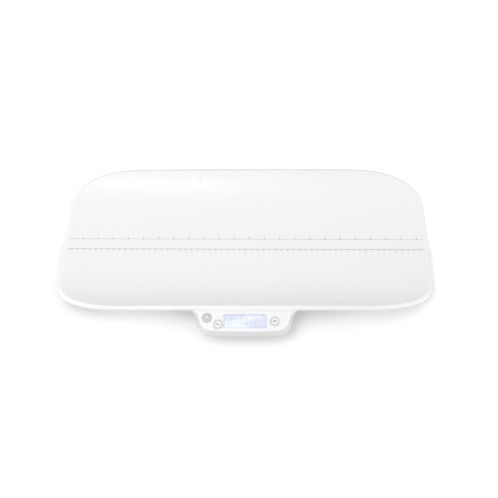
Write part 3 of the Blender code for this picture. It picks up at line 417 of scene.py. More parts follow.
def loft(rings, fans=None):
    """Joins rings of points; the ends are capped, or fanned to the two points in `fans`."""
    shape = bmesh.new()
    rows = [[shape.verts.new(Vector(p) * MM) for p in ring] for ring in rings]
    for ring, following in zip(rows, rows[1:]):
        bridge(shape, ring, following)
    if fans is None:
        shape.faces.new(rows[0][::-1])
        shape.faces.new(rows[-1])
        return shape
    for ring, point, flip in ((rows[0], fans[0], True), (rows[-1], fans[1], False)):
        tip = shape.verts.new(Vector(point) * MM)
        for a, b in zip(ring, ring[1:] + ring[:1]):
            shape.faces.new((tip, b, a) if flip else (tip, a, b))
    return shape


def lathe(profile, steps=72):
    """A solid of revolution about Z from points (radius, z)."""
    shape = bmesh.new()
    columns = []
    for r, z in profile:
        if r < 1e-6:
            columns.append([shape.verts.new((0, 0, z * MM))])
            continue
        angles = [2 * math.pi * k / steps for k in range(steps)]
        columns.append([shape.verts.new((r * math.cos(a) * MM, r * math.sin(a) * MM, z * MM))
                        for a in angles])
    for a, b in zip(columns, columns[1:]):
        for k in range(steps):
            j = (k + 1) % steps
            if len(a) == 1:
                shape.faces.new((a[0], b[k], b[j]))
            elif len(b) == 1:
                shape.faces.new((a[k], b[0], a[j]))
            else:
                shape.faces.new((a[k], b[k], b[j], a[j]))
    return shape


def fillet(before, corner, after, radius, steps, limited=False):
    """Arc points that round a corner; `limited` keeps the arc within half of each side."""
    before, corner, after = (np.array(p, float) for p in (before, corner, after))
    length_a, length_b = np.linalg.norm(before - corner), np.linalg.norm(after - corner)
    u, v = (before - corner) / length_a, (after - corner) / length_b
    half = math.acos(float(np.clip(u @ v, -1, 1))) / 2
    reach = radius / math.tan(half)
    if limited:
        reach = min(reach, 0.49 * length_a, 0.49 * length_b)
        radius = reach * math.tan(half)
    centre = corner + (u + v) / np.linalg.norm(u + v) * (radius / math.sin(half))
    first = math.atan2(*((corner + u * reach) - centre)[::-1])
    last = math.atan2(*((corner + v * reach) - centre)[::-1])
    turn = (last - first + math.pi) % (2 * math.pi) - math.pi
    angles = [first + turn * k / steps for k in range(steps + 1)]
    return [tuple(centre + radius * np.array([math.cos(a), math.sin(a)])) for a in angles]


def round_profile(points, steps=4):
    """Rounds the corners of a profile given as (r, z, corner radius)."""
    out = []
    for i, (r, z, radius) in enumerate(points):
        if radius <= 0 or i in (0, len(points) - 1):
            out.append((r, z))
        else:
            out += fillet(points[i - 1][:2], (r, z), points[i + 1][:2], radius, steps,
                          limited=True)
    return out


def add_box(shape, lo, hi):
    lo, hi = Vector(lo), Vector(hi)
    verts = bmesh.ops.create_cube(shape, size=1.0)["verts"]
    bmesh.ops.scale(shape, vec=(hi - lo) * MM, verts=verts)
    bmesh.ops.translate(shape, vec=(hi + lo) * 0.5 * MM, verts=verts)


def box(lo, hi):
    shape = bmesh.new()
    add_box(shape, lo, hi)
    return shape


def add_rod(shape, x, y, z0, z1, r, steps=32, r_top=None):
    verts = bmesh.ops.create_cone(
        shape, cap_ends=True, cap_tris=False, segments=steps, radius1=r * MM,
        radius2=(r if r_top is None else r_top) * MM, depth=(z1 - z0) * MM)["verts"]
    bmesh.ops.translate(shape, vec=(x * MM, y * MM, (z0 + z1) * 0.5 * MM), verts=verts)
    return verts


def prisms(outlines, z0, z1):
    """Closed prisms over plan outlines."""
    shape = bmesh.new()
    for outline in outlines:
        low = [shape.verts.new((x * MM, y * MM, z0 * MM)) for x, y in outline]
        high = [shape.verts.new((x * MM, y * MM, z1 * MM)) for x, y in outline]
        bridge(shape, low, high)
        shape.faces.new(low[::-1])
        shape.faces.new(high)
    return shape


def merge(*parts):
    out = bmesh.new()
    for part in parts:
        mesh = mesh_of(part)
        out.from_mesh(mesh)
        bpy.data.meshes.remove(mesh)
    return out


def rect_line(x0, x1, y0, y1, r, steps=6):
    """Anticlockwise outline of a rectangle with round corners."""
    out = []
    for cx, cy, start in ((x1 - r, y1 - r, 0), (x0 + r, y1 - r, 90),
                          (x0 + r, y0 + r, 180), (x1 - r, y0 + r, 270)):
        for k in range(steps + 1):
            t = math.radians(start + 90 * k / steps)
            out.append((cx + r * math.cos(t), cy + r * math.sin(t)))
    return out


def path_length(points):
    """Distance along a line at each of its points."""
    return np.r_[0.0, np.cumsum(np.hypot(*np.diff(points, axis=0).T))]


def points_at(points, lengths, s):
    return np.c_[np.interp(s, lengths, points[:, 0]), np.interp(s, lengths, points[:, 1])]


def normals_of(tangent):
    """Unit vectors to the right of the line's direction."""
    tangent = tangent / np.hypot(tangent[:, 0], tangent[:, 1])[:, None]
    return np.c_[tangent[:, 1], -tangent[:, 0]]


def ease(t):
    return t * t * (3 - 2 * t)


# ================================================================ tray surface
def crest_plan():
    """Closed plan of the crest line, anticlockwise from the middle of the +X end."""
    t = np.linspace(0.0, math.pi / 2, 900)
    cx = TRAY_HALF_X - CORNER_X + CORNER_X * np.cos(t) ** (2 / CORNER_POWER)
    cy = TRAY_HALF_Y - CORNER_Y + CORNER_Y * np.sin(t) ** (2 / CORNER_POWER)
    quarter = np.c_[np.r_[TRAY_HALF_X, cx, 0.0], np.r_[0.0, cy, TRAY_HALF_Y]]
    half = np.vstack([quarter, np.c_[-quarter[::-1, 0], quarter[::-1, 1]][1:]])
    full = np.vstack([half, -half[1:-1], half[:1]])
    full[:, 0] *= 1.0 + END_BULGE / TRAY_HALF_X * (1.0 - (full[:, 1] / TRAY_HALF_Y) ** 2)
    return full


crest_line = crest_plan()
crest_run = path_length(crest_line)
even_crest = points_at(crest_line, crest_run, np.linspace(0.0, crest_run[-1], 6001))
crest_angle = np.unwrap(np.arctan2(even_crest[:-1, 1], even_crest[:-1, 0]))
crest_reach = np.hypot(even_crest[:-1, 0], even_crest[:-1, 1])


def trough(x, y):
    """Height of the weighing surface: a steep law of the way out to the crest."""
    distance = math.hypot(x, y)
    if distance < 1e-6:
        return TRAY_Z
    reach = float(np.interp(math.atan2(y, x) % (2 * math.pi), crest_angle, crest_reach))
    cx, cy = x * reach / distance, y * reach / distance
    crest_rise = TRAY_RISE - END_DROP * (abs(cx) / TRAY_HALF_X) ** END_POWER
    rise = crest_rise * (abs(cy) / TRAY_HALF_Y) ** RISE_POWER
    return TRAY_Z + rise * (distance / reach) ** BOWL_POWER


def trough_slope(x, y, step=0.4):
    return math.hypot(trough(x + step, y) - trough(x - step, y),
                      trough(x, y + step) - trough(x, y - step)) / (2 * step)


def under(x, y):
    return trough(x, y) - SKIN * math.hypot(1.0, trough_slope(x, y))


def mid_skin(x, y):
    return 0.5 * (trough(x, y) + under(x, y))


def face_z(y):
    return HOOD_Z + (y - HOOD_Y) * math.tan(HOOD_TILT)


# ================================================================ hood edge
FILLET_STEPS = 40


def hood_half(bow_steps=40):
    """Right half of the sloping face's edge, from where it leaves the rim to the nose."""
    start, side, nose = (120.0, SKIRT_Y), (HOOD_SIDE[0], SKIRT_Y), (0.0, HOOD_NOSE_Y)
    right = fillet(start, side, HOOD_FRONT, HOOD_R_IN, FILLET_STEPS)
    right += fillet(side, HOOD_FRONT, nose, HOOD_R_OUT, 50)
    left_over = [1 - k / bow_steps for k in range(1, bow_steps + 1)]
    bow = [(HOOD_FRONT[0] * t, HOOD_NOSE_Y + (HOOD_FRONT[1] - HOOD_NOSE_Y) * t ** 2)
           for t in left_over]
    return np.array(right + [p for p in bow if p[0] < right[-1][0] - 3.0])


half_edge = hood_half()
HOOD_X = half_edge[0, 0]                   # the hood leaves the skirt at +-HOOD_X
edge = np.vstack([half_edge, (half_edge * [-1, 1])[::-1][1:]])[::-1]      # left to right
edge_run = path_length(edge)
edge_normal = normals_of(np.gradient(edge, axis=0))
fillet_run = float(path_length(half_edge[:FILLET_STEPS + 1])[-1])


def edge_at(fraction):
    """Point and outward normal of the edge at a fraction of its length from the left, and the
    distance to its nearer end."""
    run = fraction * edge_run[-1]
    point = points_at(edge, edge_run, [run])[0]
    normal = points_at(edge_normal, edge_run, [run])[0]
    return point, normal / np.linalg.norm(normal), min(run, edge_run[-1] - run)


# ================================================================ tray body
def tray_outline(step=4.2, hood_step=1.0, grade=14.0, grade_steps=7):
    """Crest points and outward normals, anticlockwise, closer together above the hood."""
    total = crest_run[-1]
    middle = 0.75 * total                  # the middle of the front side
    left, right = middle - HOOD_X, middle + HOOD_X
    grade_left, grade_right = left - grade, right + grade
    far = total - (grade_right - grade_left)
    far_count = int(round(far / step))
    hood_count = int(round((right - left) / hood_step))
    hood_count += hood_count % 2
    s = np.sort(np.r_[
        (grade_right + far * np.arange(far_count) / far_count) % total,
        np.linspace(grade_left, left, grade_steps, endpoint=False),
        np.linspace(left, right, hood_count + 1),
        np.linspace(right, grade_right, grade_steps, endpoint=False)[1:]])
    ahead = points_at(crest_line, crest_run, (s + 1.0) % total)
    behind = points_at(crest_line, crest_run, (s - 1.0) % total)
    return points_at(crest_line, crest_run, s), normals_of(ahead - behind)


def spline(points, steps, before, after):
    """Catmull-Rom points through 2D points, with phantom points before and after."""
    chain = [before] + list(points) + [after]
    out = []
    for a, b, c, d in zip(chain, chain[1:], chain[2:], chain[3:]):
        for j in range(steps):
            t = j / steps
            out.append(tuple(0.5 * (2 * b[i] + (c[i] - a[i]) * t
                                    + (2 * a[i] - 5 * b[i] + 4 * c[i] - d[i]) * t * t
                                    + (3 * b[i] - a[i] - 3 * c[i] + d[i]) * t ** 3)
                             for i in (0, 1)))
    out.append(chain[-2])
    return out


# rim sections, (distance out from the crest, height over it): rolled over, flowing into the
# hood's face, and the underside
RIM_ROLL = [(0.0, 0.0), (1.2, -0.28), (2.4, -0.7), (3.6, -1.3), (4.7, -2.05), (5.5, -2.9),
            (6.0, -3.75), (RIM_WIDTH, -4.4)]
RIM_FLOW = [(0.0, 0.0), (1.2, -0.2), (2.4, -0.72), (3.6, -1.42), (4.7, -2.12), (5.5, -2.62),
            (5.95, -2.9), (RIM_WIDTH, -3.06)]
RIM_UNDER = [(3.8, -3.9), (3.3, -3.3), (2.4, -2.8), (1.1, -2.5)]
EDGE_SWEEP = math.pi / 2 * 0.86            # turn of the face's rounded edge
FACE_SKIN = SKIN * 1.03                    # skin measured vertically through the sloping face


def spoke(cx, cy, nx, ny):
    """One section of the tray, from outside the crest, round the edge, to under the crest."""
    crest_z = trough(cx, cy)
    out = np.array((nx, ny))
    in_hood = abs(cx) <= HOOD_X + 1e-6 and cy < 0
    if in_hood:
        fraction = (cx + HOOD_X) / (2 * HOOD_X)
        tip, tip_out, run = edge_at(min(1.0, max(0.0, fraction)))
        blend = ease(min(1.0, run / fillet_run))
        level = face_z(SKIRT_Y)
        overhang = max(0.0, SKIRT_Y - tip[1])
        t = min(1.0, max(0.0, (abs(tip[0]) - 73.5) / (HOOD_X - 73.5)))
        bottom = HOOD_BOTTOM + (crest_z - RIM_DROP - HOOD_BOTTOM) * ease(t)
    else:
        tip, tip_out = np.array((cx + nx * RIM_WIDTH, cy + ny * RIM_WIDTH)), out
        blend = overhang = 0.0
        level = crest_z - 4.5
        bottom = crest_z - RIM_DROP
    flow = ease(min(1.0, overhang / 9.0))  # how far the rim flows into the face here

    def surface(y):
        return face_z(y) if in_hood else level

    def from_crest(distance, height):
        return (cx + nx * distance, cy + ny * distance, crest_z + height)

    rim = [(s, z0 + (z1 - z0) * flow) for (s, z0), (_, z1) in zip(RIM_ROLL, RIM_FLOW)]
    before = (-1.2, -0.1 * (1 - flow) - 0.2 * flow)
    after = (RIM_WIDTH + 0.25 * flow, -5.2 * (1 - flow) - 3.2 * flow)
    pts = [from_crest(*p) for p in spline(rim, 3, before, after)[1:]]

    # concave run from rim to face, then the face, then its rounded edge
    concave = min(3.2 * flow, 0.4 * overhang)
    edge_in = min(1.7, 0.4 * overhang)
    rim_end = np.array((cx + nx * RIM_WIDTH, cy + ny * RIM_WIDTH))
    lift = pts[-1][2] - surface(rim_end[1])
    for j in range(1, 8):
        t = j / 7
        q = rim_end + out * concave * t
        pts.append((q[0], q[1], surface(q[1]) + lift * (1 - t) ** 2))
    face_start, face_end = rim_end + out * concave, tip - tip_out * edge_in
    for j in range(1, 9):
        q = face_start + (face_end - face_start) * j / 9
        pts.append((q[0], q[1], surface(q[1])))
    edge_out, edge_depth = edge_in + 0.55 * blend, 2.2 * min(1.0, overhang / 4.0)
    for j in range(8):
        a = EDGE_SWEEP * j / 7
        q = face_end + tip_out * edge_out * math.sin(a) / math.sin(EDGE_SWEEP)
        drop = edge_depth * (1 - math.cos(a)) / (1 - math.cos(EDGE_SWEEP))
        pts.append((q[0], q[1], surface(q[1]) - drop))

    # drafted wall, rounded over its lower edge and back up inside
    top = pts[-1]
    base = np.array(top[:2])
    fall = max(0.0, top[2] - bottom)
    r = min(0.5, 0.45 * fall)

    def wall(depth, inset=0.0):
        q = base + tip_out * (depth * HOOD_DRAFT * blend - inset)
        return (q[0], q[1], top[2] - depth)

    turns = [math.pi / 2 * j / 3 for j in range(1, 4)]
    pts += [wall((fall - r) * j / 6) for j in range(1, 7)]
    pts += [wall(fall - r + r * math.sin(a), r * (1 - math.cos(a))) for a in turns]
    pts.append(wall(fall, SKIN / 2))
    pts += [wall(fall - r * (1 - math.cos(a)), SKIN - r + r * math.sin(a)) for a in turns]
    inner = base + tip_out * (-SKIN)
    ceiling = (face_z(inner[1]) if in_hood and overhang > SKIN else level) - FACE_SKIN
    end_depth = max(0.0, top[2] - max(ceiling, bottom + 1.0))
    pts += [wall(fall - r + (end_depth - (fall - r)) * j / 4, SKIN) for j in range(1, 5)]

    # underside of the face, then of the rim
    wall_end = np.array(pts[-1][:2])
    rim_in = np.array((cx + nx * (RIM_WIDTH - SKIN), cy + ny * (RIM_WIDTH - SKIN)))
    for j in range(1, 6):
        q = wall_end + (rim_in - wall_end) * j / 5
        z = surface(q[1]) - FACE_SKIN if overhang > SKIN else pts[-1][2]
        pts.append((q[0], q[1], z))
    pts.append((rim_in[0], rim_in[1], max(pts[-1][2] + 0.05, crest_z - 5.4)))
    return pts + [from_crest(*p) for p in RIM_UNDER]


def tray_shell():
    crest, crest_normal = tray_outline()
    spokes = [spoke(x, y, nx, ny) for (x, y), (nx, ny) in zip(crest, crest_normal)]
    radial = [1 - (1 - j / 36) ** 1.35 for j in range(1, 36)]
    rings = [[(x * r, y * r, trough(x * r, y * r)) for x, y in crest] for r in radial + [1]]
    rings += [list(ring) for ring in zip(*spokes)]
    rings += [[(x * r, y * r, under(x * r, y * r)) for x, y in crest]
              for r in [1.0] + radial[::-1][::2]]
    mesh = mesh_of(loft(rings, fans=((0, 0, TRAY_Z), (0, 0, TRAY_Z - SKIN))), weld=0.00002)
    mesh.transform(SHIFT)
    return mesh


def window_line(grow, radius):
    return rect_line(WINDOW_X0 - grow, WINDOW_X1 + grow, WINDOW_Y0 - grow, WINDOW_Y1 + grow,
                     radius)


def face_holes():
    """Cutters for the button holes and the window, flared at the mouth."""
    parts = []
    r, chamfer = BUTTON_R + CLEAR, 0.2
    mouth = r + chamfer * 3
    for x, y in BUTTONS.values():
        hole = lathe([(0, -6.0), (r, -6.0), (r, -chamfer), (mouth, chamfer * 2), (mouth, 4.0),
                      (0, 4.0)])
        bmesh.ops.translate(hole, vec=(x * MM, y * MM, 0), verts=hole.verts)
        parts.append(hole)
    chamfer = 0.3
    parts.append(loft([[(x, y, z) for x, y in window_line(CLEAR + grow, 1.2 + grow)]
                       for grow, z in ((0, -6.0), (0, -chamfer), (3 * chamfer, 2 * chamfer),
                                       (3 * chamfer, 4.0))]))
    return mesh_of(merge(*parts), PANEL)


def tray_bosses():
    """Screw bosses and the ring walls over the feet, grown up into the tray's skin."""
    shape = bmesh.new()
    for places, foot, top in ((BASE_SCREWS, 17.7, 60.0), (COVER_SCREWS, 31.0, 80.0)):
        for x, y in places:
            for v in add_rod(shape, x, y, foot, top, BOSS_R):
                if v.co.z > 0.05:
                    v.co.z = mid_skin(v.co.x / MM, v.co.y / MM) * MM
    inner_r, steps = 20.0, 48
    for foot_x, foot_y in FEET:
        loops = []
        for r, top in ((FOOT_WELL_R, False), (FOOT_WELL_R, True), (inner_r, True),
                       (inner_r, False)):
            ring = []
            for k in range(steps):
                a = 2 * math.pi * k / steps
                x, y = foot_x + r * math.cos(a), foot_y + r * math.sin(a)
                z = mid_skin(x, y) if top else 16.4
                ring.append(shape.verts.new((x * MM, y * MM, z * MM)))
            loops.append(ring)
        for ring, following in zip(loops, loops[1:] + loops[:1]):
            bridge(shape, ring, following)
    return mesh_of(shape, SHIFT)


def board_posts():
    shape = bmesh.new()
    for x, y in BOARD_SCREWS:
        add_rod(shape, x, y, -10.4, -1.2, 2.6)
    return mesh_of(shape, PANEL)


tools = [("DIFFERENCE", face_holes())]
tools += [("UNION", tray_bosses()), ("UNION", board_posts())]
new_object("tray_body", carve(tray_shell(), *tools), tray_gloss,
           angle=40, replaces="tray_shell")

# ================================================================ printed ruler
RULER_SLOPE = math.tan(math.radians(-0.25))
INCH, INCH_COUNT, CM_COUNT = 25.4, 24, 60
INCH_Y, CM_Y = 14.3, -5.5
CM_ZERO_X, INCH_SHIFT = -300.0, 1.4
RULER_REACH = 297.6
NUMERAL_SIZE, NUMERAL_LIFT = 3.915, 0.01
INK_TOP, INK_BOTTOM = 0.04, -0.03          # over and under the tray's surface


def strip(shape, x0, y0, x1, y1, width, steps=1):
    """A thin line of ink that follows the tray's surface."""
    run = Vector((x1 - x0, y1 - y0))
    side = Vector((-run.y, run.x)).normalized() * width / 2
    rows = []
    for k in range(steps + 1):
        p = Vector((x0, y0)) + run * k / steps
        left, right = p + side, p - side
        rows.append([shape.verts.new((q.x * MM, q.y * MM, (trough(q.x, q.y) + lift) * MM))
                     for q, lift in ((left, INK_TOP), (right, INK_TOP),
                                     (right, INK_BOTTOM), (left, INK_BOTTOM))])
    for row, following in zip(rows, rows[1:]):
        bridge(shape, row, following)
    shape.faces.new(rows[0][::-1])
    shape.faces.new(rows[-1])


def ruler(line_y, line_width, marks, mark_width):
    """A long line and its marks, given as (x, start and end offset in y)."""
    shape = bmesh.new()
    strip(shape, -RULER_REACH, line_y - RULER_REACH * RULER_SLOPE,
          RULER_REACH, line_y + RULER_REACH * RULER_SLOPE, line_width, 120)
    for x, start, end in marks:
        y = line_y + x * RULER_SLOPE
        strip(shape, x, y + start, x, y + end, mark_width)
    return mesh_of(shape, SHIFT)


def numerals(items):
    """Numbers laid on the tray: items are (text, x, y)."""
    out = bmesh.new()
    for text, x, y in items:
        curve = bpy.data.curves.new("numeral", "FONT")
        curve.body = text
        curve.size = NUMERAL_SIZE * MM
        curve.align_x = "CENTER"
        curve.align_y = "CENTER"
        curve.extrude = 0.03 * MM
        curve.resolution_u = 3
        mesh = curve_mesh(curve)
        shape = bmesh.new()
        shape.from_mesh(mesh)
        bmesh.ops.remove_doubles(shape, verts=shape.verts, dist=0.000001)
        for v in shape.verts:
            px, py = x + v.co.x / MM, y + v.co.y / MM
            v.co = Vector((px, py, trough(px, py) + NUMERAL_LIFT + v.co.z / MM)) * MM
        shape.to_mesh(mesh)
        shape.free()
        out.from_mesh(mesh)
        bpy.data.meshes.remove(mesh)
    return mesh_of(out, SHIFT)


def cm_mark_length(k):
    if k % 10 == 0:
        return 3.8
    return 3.5 if k % 5 == 0 else 3.2


cm_marks = [(CM_ZERO_X + 10.0 * k, -0.2, -cm_mark_length(k)) for k in range(1, CM_COUNT)]
inch_marks = [(CM_ZERO_X + INCH_SHIFT + INCH * k, 0.15, 4.2 if k % 6 == 0 else 3.4)
              for k in range(1, INCH_COUNT)]
numbers = [(str(k), CM_ZERO_X + INCH_SHIFT + INCH * k,
            INCH_Y + 6.8 + (CM_ZERO_X + INCH * k) * RULER_SLOPE) for k in range(1, INCH_COUNT)]
numbers += [(str(k), CM_ZERO_X + 10.0 * k, CM_Y - 6.9 + (CM_ZERO_X + 10.0 * k) * RULER_SLOPE)
            for k in range(5, CM_COUNT, 5)]
for name, mesh, material in (
        ("ruler_centimetres", ruler(CM_Y, 0.62, cm_marks, 0.75), ruler_ink),
        ("ruler_inches", ruler(INCH_Y, 0.42, inch_marks, 0.95), ruler_ink),
        ("ruler_numbers", numerals(numbers), number_ink)):
    new_object(name, mesh, material, smooth=False)

# ================================================================ display
WINDOW_RINGS = [(0.2, FLANGE_TOP), (0.2, -0.5), (0.14, -0.3), (-0.05, -0.2)]     # (growth, z)
window_mesh = mesh_of(loft([[(x, y, z) for x, y in window_line(grow, 1.0 + grow * 0.5)]
                            for grow, z in WINDOW_RINGS]), PANEL)
window_flange = rect_line(WINDOW_X0 + 0.01, WINDOW_X1 + 1.7, WINDOW_Y0 - 1.6, WINDOW_Y1 + 1.6,
                          0.6)
window_mesh = carve(window_mesh,
                    ("UNION", mesh_of(prisms([window_flange], -3.89, FLANGE_TOP), PANEL)))
window = new_object("display_window_clear", window_mesh, clear_acrylic(),
                    angle=30)
# second slot, for the window's side walls: the painted glow
window_mesh.materials.append(acrylic_edge())
panel_up = PANEL.to_3x3() @ Vector((0, 0, 1))
for face in window_mesh.polygons:
    if abs(face.normal.dot(panel_up)) < 0.5:
        face.material_index = 1
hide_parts("display_window")

DIGIT_W, DIGIT_H, DIGIT_Y = 7.2, 13.4, -15.6
BAR_WIDTH, BAR_GAP = 2.1, 0.35
ZERO_PLACES = (-12.2, 10.6, 24.2)


def zero_digit():
    """Outlines of the six lit bars of a zero, centred on the origin."""
    x1, y1 = DIGIT_W / 2, DIGIT_H / 2
    x0, y0 = -x1, -y1
    outlines = []
    for start, end in (((x0, y1), (x1, y1)), ((x1, 0), (x1, y1)), ((x1, y0), (x1, 0)),
                       ((x0, y0), (x1, y0)), ((x0, y0), (x0, 0)), ((x0, 0), (x0, y1))):
        start, end = np.array(start, float), np.array(end, float)
        run = (end - start) / np.linalg.norm(end - start)
        side = np.array((-run[1], run[0]))
        a, b = start + run * BAR_GAP, end - run * BAR_GAP
        q = BAR_WIDTH / 2
        outlines.append([a, a + run * q - side * q, b - run * q - side * q, b,
                         b - run * q + side * q, a + run * q + side * q])
    return outlines


lit = [[(px + x, py + DIGIT_Y) for px, py in bar] for x in ZERO_PLACES for bar in zero_digit()]
lit.append(rect_line(-2.2, 0.2, -23.5, -21.1, 0.4, 2))         # point
lit.append(rect_line(-29.5, -24.0, -20.4, -18.9, 0.4, 2))      # dash at the left
new_object("display_digits", mesh_of(prisms(lit, -4.21, -4.12), PANEL), digit_light(),
           smooth=False)

# ================================================================ buttons
# (r, z) of a cap, from the middle of its dished top to its shoulder
CAP_TOP = [(0.0, 0.22)] + [(BUTTON_R * j / 8, 0.22 + 0.13 * (j / 6) ** 2) for j in range(1, 7)]
CAP_TOP += [(BUTTON_R - 1.0, 0.36), (BUTTON_R - 0.55, 0.30), (BUTTON_R - 0.22, 0.12),
            (BUTTON_R - 0.05, -0.18), (BUTTON_R, -0.5), (BUTTON_R, FLANGE_TOP)]
PRINT_BOTTOM = 0.15
RING_BOTTOM, RING_TOP, MARK_TOP = 0.2, 0.40, 0.42
MARKS = {
    "hold": [[(-3.4, -2.6), (-2.1, -2.6), (0.0, 1.2), (2.1, -2.6), (3.4, -2.6), (0.55, 3.4),
              (-0.55, 3.4)]],
    "unit": [[(-1.6, -0.7), (-1.6, 1.7), (-3.6, 0.5)], [(1.2, -1.6), (1.2, 0.6), (3.0, -0.5)],
             rect_line(-1.7, 1.0, 0.0, 1.0, 0.2, 2), rect_line(-0.6, 1.3, -1.0, -0.1, 0.2, 2)],
    "power": [rect_line(-3.1, 3.1, -0.85, 0.85, 0.8, 4), rect_line(-0.6, 0.6, 0.86, 2.2, 0.4, 3)],
}


def build_button(key, x, y):
    """A cap with a printed ring and mark: pale on the grey cap, dark on the white ones."""
    place = PANEL @ Matrix.Translation((x * MM, y * MM, 0.0))
    body = "button_" + key
    pale = key == "hold"
    flange = 7.85 if key == "unit" else 8.4
    mesh = mesh_of(lathe(CAP_TOP + [(flange, FLANGE_TOP), (flange, -3.9), (2.2, -3.9),
                                    (2.2, -5.4), (0.0, -5.4)]), place, weld=0.000002)
    if key == "unit":
        # its flange is cut straight towards the window
        trim = box((BUTTON_R + 0.3, -20.0, -12.0), (24.0, 20.0, 6.0))
        mesh = carve(mesh, ("DIFFERENCE", mesh_of(trim, place)))
    cap_slot, print_slot = "button_white", "button_grey"
    if pale:
        cap_slot, print_slot = print_slot, cap_slot
    new_object("button_cap_" + key, mesh, button_grey if pale else button_white,
               body, angle=35, replaces=body)
    r0, r1 = (5.6, 6.1) if pale else (5.2, 6.2)
    ring = lathe([(r0, RING_BOTTOM), (r1, RING_BOTTOM), (r1, RING_TOP), (r0, RING_TOP),
                  (r0, RING_BOTTOM)])
    new_object("button_ring_" + key, mesh_of(ring, place, weld=0.000001),
               pale_ink if pale else ring_ink, body, angle=35)
    new_object("button_mark_" + key, mesh_of(prisms(MARKS[key], PRINT_BOTTOM, MARK_TOP), place),
               pale_ink if pale else mark_ink, body, smooth=False)


for key, (x, y) in BUTTONS.items():
    build_button(key, x, y)

# ================================================================ finishes of the CAD pieces
FINISH = {"base_cover": satin, "display_back_cover": satin, "battery_door": satin,
          "lcd_glass": lcd_blue(), "lcd_backlight": diffuser,
          "lcd_connector_strip": banded_elastomer(), "main_circuit_board": solder_mask(),
          "controller_chip": chip, "battery_lead": cable_red}
# by the start of the name, the longer of two like starts first
PREFIX_FINISH = {"foot_cup": foot_grey, "foot_pad": foot_rubber, "load_cell_cable": cable_white,
                 "load_cell": steel, "strain_gauge": gauge_coating, "battery_spring": nickel,
                 "contact_plate": nickel, "battery_": sleeve, "switch_": chip,
                 "base_screw": zinc, "display_cover_screw": zinc, "board_screw": zinc}
for name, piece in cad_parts.items():
    by_start = next((m for start, m in PREFIX_FINISH.items() if name.startswith(start)), None)
    material = FINISH.get(name, by_start)
    if material is not None:
        piece.data.materials.clear()
        piece.data.materials.append(material)

# ================================================================ bottom cover
# (inset, z) from the outline: the outside from the bottom up, and the inside from the top down
BASE_OUTER = [(5.4, BASE_Z), (4.2, 7.05), (3.0, 7.35), (1.9, 8.0), (1.0, 9.1), (0.4, 10.7),
              (0.05, 12.5)]
BASE_INNER = [(SKIN + 0.1, 12.6), (SKIN + 0.7, 11.0), (SKIN + 2.0, 9.8), (SKIN + 3.6, 9.4)]


def rounded_rect(half_x, half_y, r, count):
    """Anticlockwise outline of evenly spaced points, with its outward normals."""
    line = [(half_x, 0.0)] + rect_line(-half_x, half_x, -half_y, half_y, r, 60)
    line = np.array(line + line[:1])
    run = path_length(line)
    points = points_at(line, run, np.linspace(0.0, run[-1], count, endpoint=False))
    return points, normals_of(np.roll(points, -1, axis=0) - np.roll(points, 1, axis=0))


base_line, base_normal = rounded_rect(BASE_HALF_X, BASE_HALF_Y, BASE_R, 240)


def base_ring(inset, z):
    return [(x - nx * inset, y - ny * inset, z)
            for (x, y), (nx, ny) in zip(base_line, base_normal)]


def base_top(inset):
    """The cover's upper edge, just under the tray."""
    out = []
    for (x, y), (nx, ny) in zip(base_line, base_normal):
        tray_z = min(under(x - nx * SKIN, y - ny * SKIN), under(x, y))
        out.append((x - nx * inset, y - ny * inset, tray_z - 0.45))
    return out


def battery_box(half_x, half_y, z0, z1):
    return ((BATTERY_X - half_x, BATTERY_Y - half_y, z0),
            (BATTERY_X + half_x, BATTERY_Y + half_y, z1))


def base_cover():
    rings = [base_ring(*p) for p in BASE_OUTER] + [base_top(0.0), base_top(SKIN)]
    rings += [base_ring(*p) for p in BASE_INNER]
    shell = mesh_of(loft(rings, fans=((0, 0, BASE_Z), (0, 0, BASE_INNER[-1][1]))))

    blocks, pockets, openings, flares = (bmesh.new() for _ in range(4))
    inside = BASE_Z + 1.2
    for x, y in BASE_SCREWS:
        add_rod(blocks, x, y, inside, 17.4, SCREW_POST_R, 40)
        add_rod(pockets, x, y, 8.0, 15.0, BOSS_R, 40)
        add_rod(openings, x, y, 13.0, 19.0, SCREW_HOLE_R, 24)
        add_rod(openings, x, y, 6.0, 8.2, 5.2, 40, r_top=BOSS_R - 0.01)
    add_box(blocks, *battery_box(30.0, BATTERY_ROOM_Y + 4.0, inside, 23.2))
    for x, y in FEET:
        add_rod(blocks, x, y, inside, PLATE_Z - CLEAR, FOOT_WELL_R, 72)
        add_rod(pockets, x, y, BASE_Z + SKIN, 20.0, 19.0, 72)
        add_rod(openings, x, y, 5.0, 12.0, FOOT_R + 0.6, 72)
        add_rod(flares, x, y, 6.0, 7.75, FOOT_R + 2.3, 72, r_top=FOOT_R + 0.55)
    add_box(openings, *battery_box(26.0, BATTERY_ROOM_Y, 3.0, 21.4))
    add_box(openings, (-26.0, -102.0, 13.5), (26.0, -90.0, 27.0))    # gap in the front wall
    door_seat = box(*battery_box(28.0, BATTERY_ROOM_Y + 2.0, 3.0, 9.1))
    room_back = BATTERY_Y + BATTERY_ROOM_Y
    back_notch = box((BATTERY_X - 8.0, room_back - 2.0, 2.0),
                     (BATTERY_X + 8.0, room_back + 5.2, 16.0))
    cuts = (pockets, openings, door_seat, back_notch, flares)
    mesh = carve(shell, ("UNION", mesh_of(blocks)), *[("DIFFERENCE", mesh_of(c)) for c in cuts])
    mesh.transform(SHIFT)
    return mesh


new_object("base_body", base_cover(), satin, angle=30,
           replaces="base_cover")

# ================================================================ display back cover
COVER_BACK_Y, COVER_BACK_Z = -BASE_HALF_Y - 0.5, 12.0
COVER_RISE = (38.2 - COVER_BACK_Z) / (168.0 + COVER_BACK_Y)    # its sloping underside
YZ = Matrix(((0, 0, 1, 0), (1, 0, 0, 0), (0, 1, 0, 0), (0, 0, 0, 1)))   # (y, z) run along X
